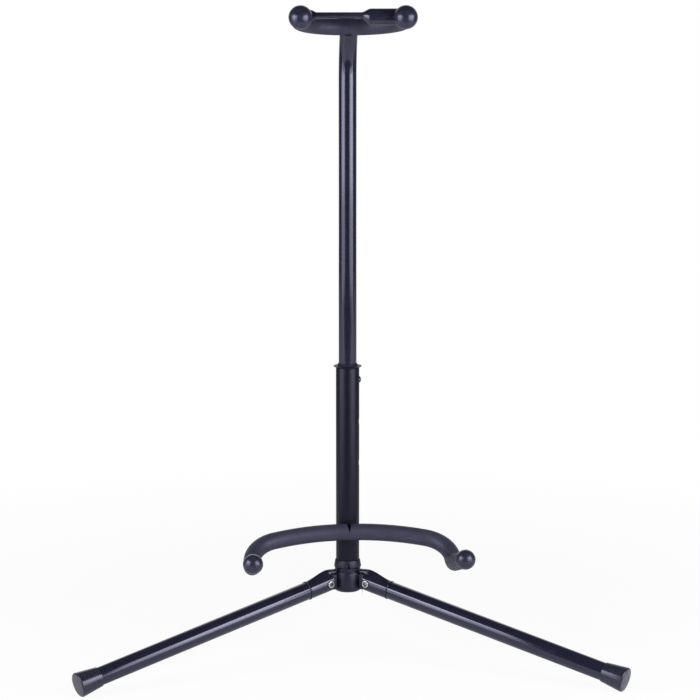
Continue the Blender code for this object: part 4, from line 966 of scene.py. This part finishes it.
def cradle_route():
    """Centreline of the right half of the cradle's rod, from the weld out."""
    middle = (0.0, -(LOWER_RADIUS + GAP + ROD_RADIUS), CRADLE_Z)
    plane_axis = (0.0, math.sin(CRADLE_DIP), -math.cos(CRADLE_DIP))
    back_angle = math.asin(CRADLE_BACK_HALF / CRADLE_BACK_RADIUS)
    route = Route(middle, X_AXIS).run(CRADLE_WELD_HALF)
    route.bend(CRADLE_BACK_RADIUS, back_angle, plane_axis)
    route.bend(CRADLE_CORNER_RADIUS, CRADLE_CORNER_END - back_angle, plane_axis)
    dip = math.asin(-route.heading.z)
    route.bend(CRADLE_TIP_RADIUS, dip + CRADLE_TIP_RISE, route.heading.cross(Z_AXIS))
    return route.run(CRADLE_TIP_LENGTH)


def make_cradle():
    """The cradle: its rod, its caps and two sleeves with a V notch between them."""
    route = cradle_route()
    right = route.points
    rod = swept("cradle_rod_steel", mirrored(right)[::-1] + right[1:], MAST, ROD_RADIUS,
                FINISHES["rod_steel"], closed=True, sides=32)
    settle(rod, "base", ["cradle_rod"])
    top = CRADLE_Z + SLEEVE_RADIUS
    clear = 2.0 * SLEEVE_RADIUS
    slope = NOTCH_WIDTH / 2.0 / NOTCH_DEPTH
    notch = [(0.0, top - NOTCH_DEPTH), (slope * (NOTCH_DEPTH + clear), top + clear),
             (-slope * (NOTCH_DEPTH + clear), top + clear)]
    place = MAST @ Matrix.Translation((0.0, right[0].y, 0.0))
    back = math.sqrt(CRADLE_CAP_RADIUS ** 2 - CRADLE_SEAT_RADIUS ** 2)
    for name, side in SIDES:
        points = right if side > 0.0 else mirrored(right)
        tip = Vector((side * route.heading.x, route.heading.y, route.heading.z))
        make_ball_cap("cradle_cap_rubber_" + name, "cradle_cap_" + name, MAST, points[-1], tip,
                      CRADLE_CAP_RADIUS, CRADLE_SEAT_RADIUS, "base")
        tube = bar(LOWER_RADIUS + SNUG, (0.0, 0.0, CRADLE_Z - clear), (0.0, 0.0, CRADLE_Z + clear), ROUND)
        tools = [work("mast_form", tube, MAST), work("notch_form", prism(notch, clear), place)]
        sleeve = make_sleeve("cradle_sleeve_soft_" + name, points, back + GAP, MAST, side, tools)
        settle(sleeve, "base", ["cradle_sleeve_" + name])


def neck_route():
    """Centreline of the right half of the yoke's rod."""
    middle = upper_route().points[-1]
    plane_axis = (0.0, -math.sin(NECK_RISE), -math.cos(NECK_RISE))
    route = Route(middle, X_AXIS).run(NECK_HALF - NECK_BEND_RADIUS)
    route.bend(NECK_BEND_RADIUS, math.pi / 2.0, plane_axis)
    return route.run(NECK_REACH - NECK_BEND_RADIUS)


def make_neck_yoke():
    """The neck yoke: its rod with the stub in the mast, its caps and its sleeves."""
    route = neck_route()
    right = route.points
    turn = (-upper_route().heading).to_track_quat("Z", "Y").to_matrix().to_4x4()
    place = UPPER @ Matrix.Translation(right[0]) @ turn
    rod = swept("neck_rod_steel", mirrored(right)[::-1] + right[1:], UPPER, ROD_RADIUS,
                FINISHES["rod_steel"], closed=True, sides=48)
    plug = UPPER_RADIUS - TUBE_WALL - GAP
    start = TUBE_END_DROP + GAP
    stub = [(0.0, 0.0), (STUB_RADIUS, 0.0), (STUB_RADIUS, start)]
    stub += [(plug, start), (plug, TOP_RUN), (0.0, TOP_RUN)]
    shape_by(rod, work("stub_form", turned(stub, 48), place), "UNION")
    settle(rod, "upper_mast", ["neck_rod"], FINISHES["rod_steel"])
    drop = TUBE_END_DROP - SNUG
    wide, narrow, clear = UPPER_RADIUS + SNUG, STUB_RADIUS + SNUG, 2.0 * SLEEVE_RADIUS
    form = [(0.0, 0.0), (narrow, 0.0), (narrow, drop), (wide, drop), (wide, clear), (0.0, clear)]
    back = math.sqrt(NECK_CAP_RADIUS ** 2 - NECK_SEAT_RADIUS ** 2)
    for name, side in SIDES:
        points = right if side > 0.0 else mirrored(right)
        make_ball_cap("neck_cap_rubber_" + name, "neck_cap_" + name, UPPER, points[-1], route.heading,
                      NECK_CAP_RADIUS, NECK_SEAT_RADIUS, "upper_mast")
        short = back + 2.0 * STRAP_LOOP_HALF + 3.0 * GAP
        tools = [work("tube_form", turned(form), place)]
        sleeve = make_sleeve("neck_sleeve_soft_" + name, points, short, UPPER, side, tools)
        settle(sleeve, "upper_mast", ["neck_sleeve_" + name])


def strap_ring(distance, half_depth, half_height, lift, exponent):
    """A section of the strap, square to its length."""
    return [Vector((-distance, half_depth * across, lift + half_height * upward))
            for across, upward in superellipse(exponent, 64)]


def smooth_stations(stations, count):
    """Fill in between stations with an eased blend."""
    filled = []
    for near, far in zip(stations, stations[1:]):
        for k in range(count):
            t = k / count
            ease = t * t * (3.0 - 2.0 * t)
            row = [a + (b - a) * ease for a, b in zip(near, far)]
            row[0] = near[0] + (far[0] - near[0]) * t
            filled.append(row)
    return filled + [list(stations[-1])]


def make_neck_strap():
    """The strap: a loop on the right rod, a barrel, a band, a web and a hook for the left rod."""
    joint = joints["strap_swing"]
    turn = UPPER.to_3x3().to_4x4() @ Matrix.Rotation(-NECK_RISE, 4, "X")
    place = Matrix.Translation(joint["pos_m"]) @ turn
    span = 2.0 * NECK_HALF
    inside = (STRAP_RADIUS + ROD_RADIUS) / 2.0
    barrel, loop = STRAP_BARREL_RADIUS, STRAP_LOOP_HALF
    start, end = STRAP_BARREL
    rim, lift = barrel - STRAP_BARREL_CHAMFER, STRAP_BARREL_LIFT
    flare = span - STRAP_RADIUS - STRAP_FLARE
    web = (*STRAP_WEB, STRAP_WEB_LIFT, STRAP_WEB_SQUARENESS)
    band = (*STRAP_BAND, STRAP_BAND_LIFT, STRAP_BAND_SQUARENESS)
    rows = []
    for k in range(6):
        angle = math.pi / 2.0 * k / 5.0
        radius = rim + STRAP_BARREL_CHAMFER * math.sin(angle)
        rows.append((start + STRAP_BARREL_CHAMFER * (1.0 - math.cos(angle)), radius, radius, lift, 2.0))
    tail = [(end, barrel, barrel, lift, 2.0), (STRAP_TAPER_END, *band), (flare, *band),
            (span - STRAP_WEB_REACH, *web), (span - inside, *web)]
    rows += smooth_stations(tail, 12)
    rings = [strap_ring(*row) for row in rows]
    strap = work("neck_strap_moulding", skin(rings), place)
    for x in (0.0, -span):
        boss = bar(STRAP_RADIUS, (x, -loop, 0.0), (x, loop, 0.0), ROUND)
        shape_by(strap, work("strap_boss", boss, place), "UNION")
    seat = math.sqrt(NECK_CAP_RADIUS ** 2 - NECK_SEAT_RADIUS ** 2)
    reach, back = NECK_CAP_RADIUS + 2.0 * GAP, -(seat + GAP)
    ball = arc((0.0, 0.0), reach, math.asin(back / reach), math.pi / 2.0, 40)
    cap = turned([(0.0, back)] + ball[:-1] + [(0.0, reach)], 64)
    cap_place = place @ Matrix.Translation((0.0, -(seat + 1.5 * GAP + loop), 0.0))
    shape_by(strap, work("cap_form", cap, cap_place @ Matrix.Rotation(math.pi / 2.0, 4, "X")))
    sleeve = bar(SLEEVE_RADIUS + 2.0 * GAP, (0.0, loop, 0.0), (0.0, 4.0 * loop, 0.0), 64)
    shape_by(strap, work("sleeve_form", sleeve, place))
    hole = bar(ROD_RADIUS + GAP, (0.0, -2.0 * loop, 0.0), (0.0, 2.0 * loop, 0.0), 64)
    shape_by(strap, work("strap_hole", hole, place))
    mouth = ROD_RADIUS + GAP
    outline = [(-span + mouth, 0.0)] + arc((-span, 0.0), mouth, 0.0, math.pi, 32)[1:]
    outline += [(-span - mouth, -span), (-span + mouth, -span)]
    shape_by(strap, work("strap_mouth", prism(outline, 2.0 * loop), place))
    jaw = [(-1.5 * span, -span), (-span / 2.0, -span), (-span / 2.0, -STRAP_HOOK_DEPTH),
           (-1.5 * span, -STRAP_HOOK_DEPTH)]
    shape_by(strap, work("strap_jaw_end", prism(jaw, 2.0 * loop), place))
    soften(strap, STRAP_EDGE, angle=40.0)
    settle(strap, "neck_strap", ["neck_strap"], FINISHES["strap_rubber"])


def finish_kept_nodes():
    """Inner pieces whose solids are right keep them, with a finish."""
    for node, finish in (("mast_plug", "zinc_steel"), ("glide_plug", "black_plastic"),
                         ("button_spring", "spring_steel")):
        mesh = frame["nodes"][node].data
        mesh.materials.clear()
        mesh.materials.append(FINISHES[finish])


def seen_directly(tree):
    """The ray's kinds, and 1 for rays from the camera and through glass. Gloss is added by each user."""
    path = add(tree, "ShaderNodeLightPath")
    first = add(tree, "ShaderNodeMath", {"operation": "MAXIMUM"},
                {0: path.outputs["Is Camera Ray"], 1: path.outputs["Is Transmission Ray"]})
    return path, first


def make_room(scene):
    """A dim studio with a white backdrop behind the stand."""
    world = scene.world or bpy.data.worlds.new("studio")
    scene.world = world
    world.use_nodes = True
    tree = world.node_tree
    tree.nodes.clear()
    path, seen = seen_directly(tree)
    direction = add(tree, "ShaderNodeTexCoord").outputs["Generated"]
    ray = add(tree, "ShaderNodeSeparateXYZ", None, {0: direction})
    behind = between(tree, ray.outputs["Y"], 0.0, 1.0, *BACKDROP_EDGE)
    gloss = add(tree, "ShaderNodeMath", {"operation": "MULTIPLY"},
                {0: path.outputs["Is Glossy Ray"], 1: behind})
    shows = add(tree, "ShaderNodeMath", {"operation": "MAXIMUM"}, {0: seen, 1: gloss})
    dim = add(tree, "ShaderNodeBackground", None, {"Color": srgb("ececf4"), "Strength": ROOM_LEVEL})
    white = add(tree, "ShaderNodeBackground", None, {"Color": (1.0, 1.0, 1.0, 1.0), "Strength": 1.0})
    mix = add(tree, "ShaderNodeMixShader", None, {0: shows, 1: dim, 2: white})
    add(tree, "ShaderNodeOutputWorld", None, {"Surface": mix})


def table_paper():
    """Matte white paper: near white to the camera, and it keeps the stand's soft shadow. Its glow is turned
    down beside the stand, which also paints a faint grey pool there.
    """
    material = bpy.data.materials.new("white_paper")
    material.use_nodes = True
    tree = material.node_tree
    tree.nodes.clear()
    path, seen = seen_directly(tree)
    sheen = add(tree, "ShaderNodeMath", {"operation": "MULTIPLY"},
                {0: path.outputs["Is Glossy Ray"], 1: PAPER_SHEEN})
    shows = add(tree, "ShaderNodeMath", {"operation": "MAXIMUM"}, {0: seen, 1: sheen})
    place = add(tree, "ShaderNodeTexCoord").outputs["Object"]
    away = add(tree, "ShaderNodeVectorMath", {"operation": "LENGTH"}, {0: place}).outputs["Value"]
    # painted shade: less glow beside the stand makes the paper there greyer even where no shadow falls
    glow_share_with_painted_pool = between(tree, away, *PAPER_GLOW, *PAPER_FADE)
    share = add(tree, "ShaderNodeMath", {"operation": "MULTIPLY"}, {0: shows, 1: glow_share_with_painted_pool})
    paper = add(tree, "ShaderNodeBsdfDiffuse", None, {"Color": srgb("f4f4f6")})
    glow = add(tree, "ShaderNodeEmission", None, {"Color": (1.0, 1.0, 1.0, 1.0), "Strength": 1.0})
    mix = add(tree, "ShaderNodeMixShader", None, {0: share, 1: paper, 2: glow})
    add(tree, "ShaderNodeOutputMaterial", None, {"Surface": mix})
    return material


def make_table(scene):
    """The table top under the stand, covered with white paper."""
    left, right, front, back = TABLE
    mesh = bpy.data.meshes.new("table_top")
    corners = [(left, front, 0.0), (right, front, 0.0), (right, back, 0.0), (left, back, 0.0)]
    mesh.from_pydata(corners, [], [(0, 1, 2, 3)])
    mesh.materials.append(table_paper())
    table = bpy.data.objects.new("table_top", mesh)
    scene.collection.objects.link(table)
    table.location = (0.0, 0.0, -TABLE_DROP)


def make_lamps(scene):
    """Soft boxes that stand upright round the mast, as azimuth from the camera and distance say."""
    for name, azimuth, distance, rise, size, level in LAMPS:
        lamp = bpy.data.lights.new(name, "AREA")
        lamp.shape = "RECTANGLE"
        lamp.size, lamp.size_y = size
        lamp.energy = level * math.pi * size[0] * size[1]
        light = bpy.data.objects.new(name, lamp)
        scene.collection.objects.link(light)
        angle = math.radians(azimuth) - CAMERA_YAW
        outward = Vector((math.sin(angle), -math.cos(angle), 0.0))
        light.location = mast_foot + outward * distance + Z_AXIS * rise
        light.rotation_euler = (-outward).to_track_quat("-Z", "Y").to_euler()


def make_stage():
    """White backdrop and table, soft boxes and a dim room."""
    scene = bpy.context.scene
    scene.view_settings.view_transform = "Standard"
    make_room(scene)
    make_table(scene)
    make_lamps(scene)


def make_camera():
    """The camera, placed to match the photograph."""
    scene = bpy.context.scene
    data = bpy.data.cameras.new("photo_camera")
    data.sensor_width = CAMERA_SENSOR
    data.lens = CAMERA_PIXEL_FOCAL * CAMERA_SENSOR / PHOTO_SIZE
    data.clip_end = CAMERA_CLIP_END
    camera = bpy.data.objects.new("photo_camera", data)
    scene.collection.objects.link(camera)
    turn = Matrix.Rotation(-CAMERA_YAW, 4, "Z") @ Matrix.Rotation(math.pi / 2.0 - CAMERA_PITCH, 4, "X")
    aim = mast_foot + Z_AXIS * (PIVOT_Z + CAMERA_AIM_RISE)
    right = turn.to_3x3() @ X_AXIS
    forward = turn.to_3x3() @ -Z_AXIS
    offset = (PHOTO_SIZE / 2.0 - CAMERA_AIM_COLUMN) / CAMERA_PIXEL_FOCAL * CAMERA_DEPTH
    camera.matrix_world = Matrix.Translation(aim - forward * CAMERA_DEPTH + right * offset) @ turn
    scene.camera = camera


make_camera()
make_lower_tube()
make_stop_collar()
make_mast_bush()
make_hub()
make_hub_bolt()
make_upper_tube()
make_snap_button()
for leg in LEGS:
    make_knuckle(leg)
    make_rivet(leg)
    make_leg_tube(leg)
    make_boot(leg)
make_cradle()
make_neck_yoke()
make_neck_strap()
finish_kept_nodes()
for tool in spent_tools:
    bpy.data.objects.remove(tool, do_unlink=True)
make_stage()
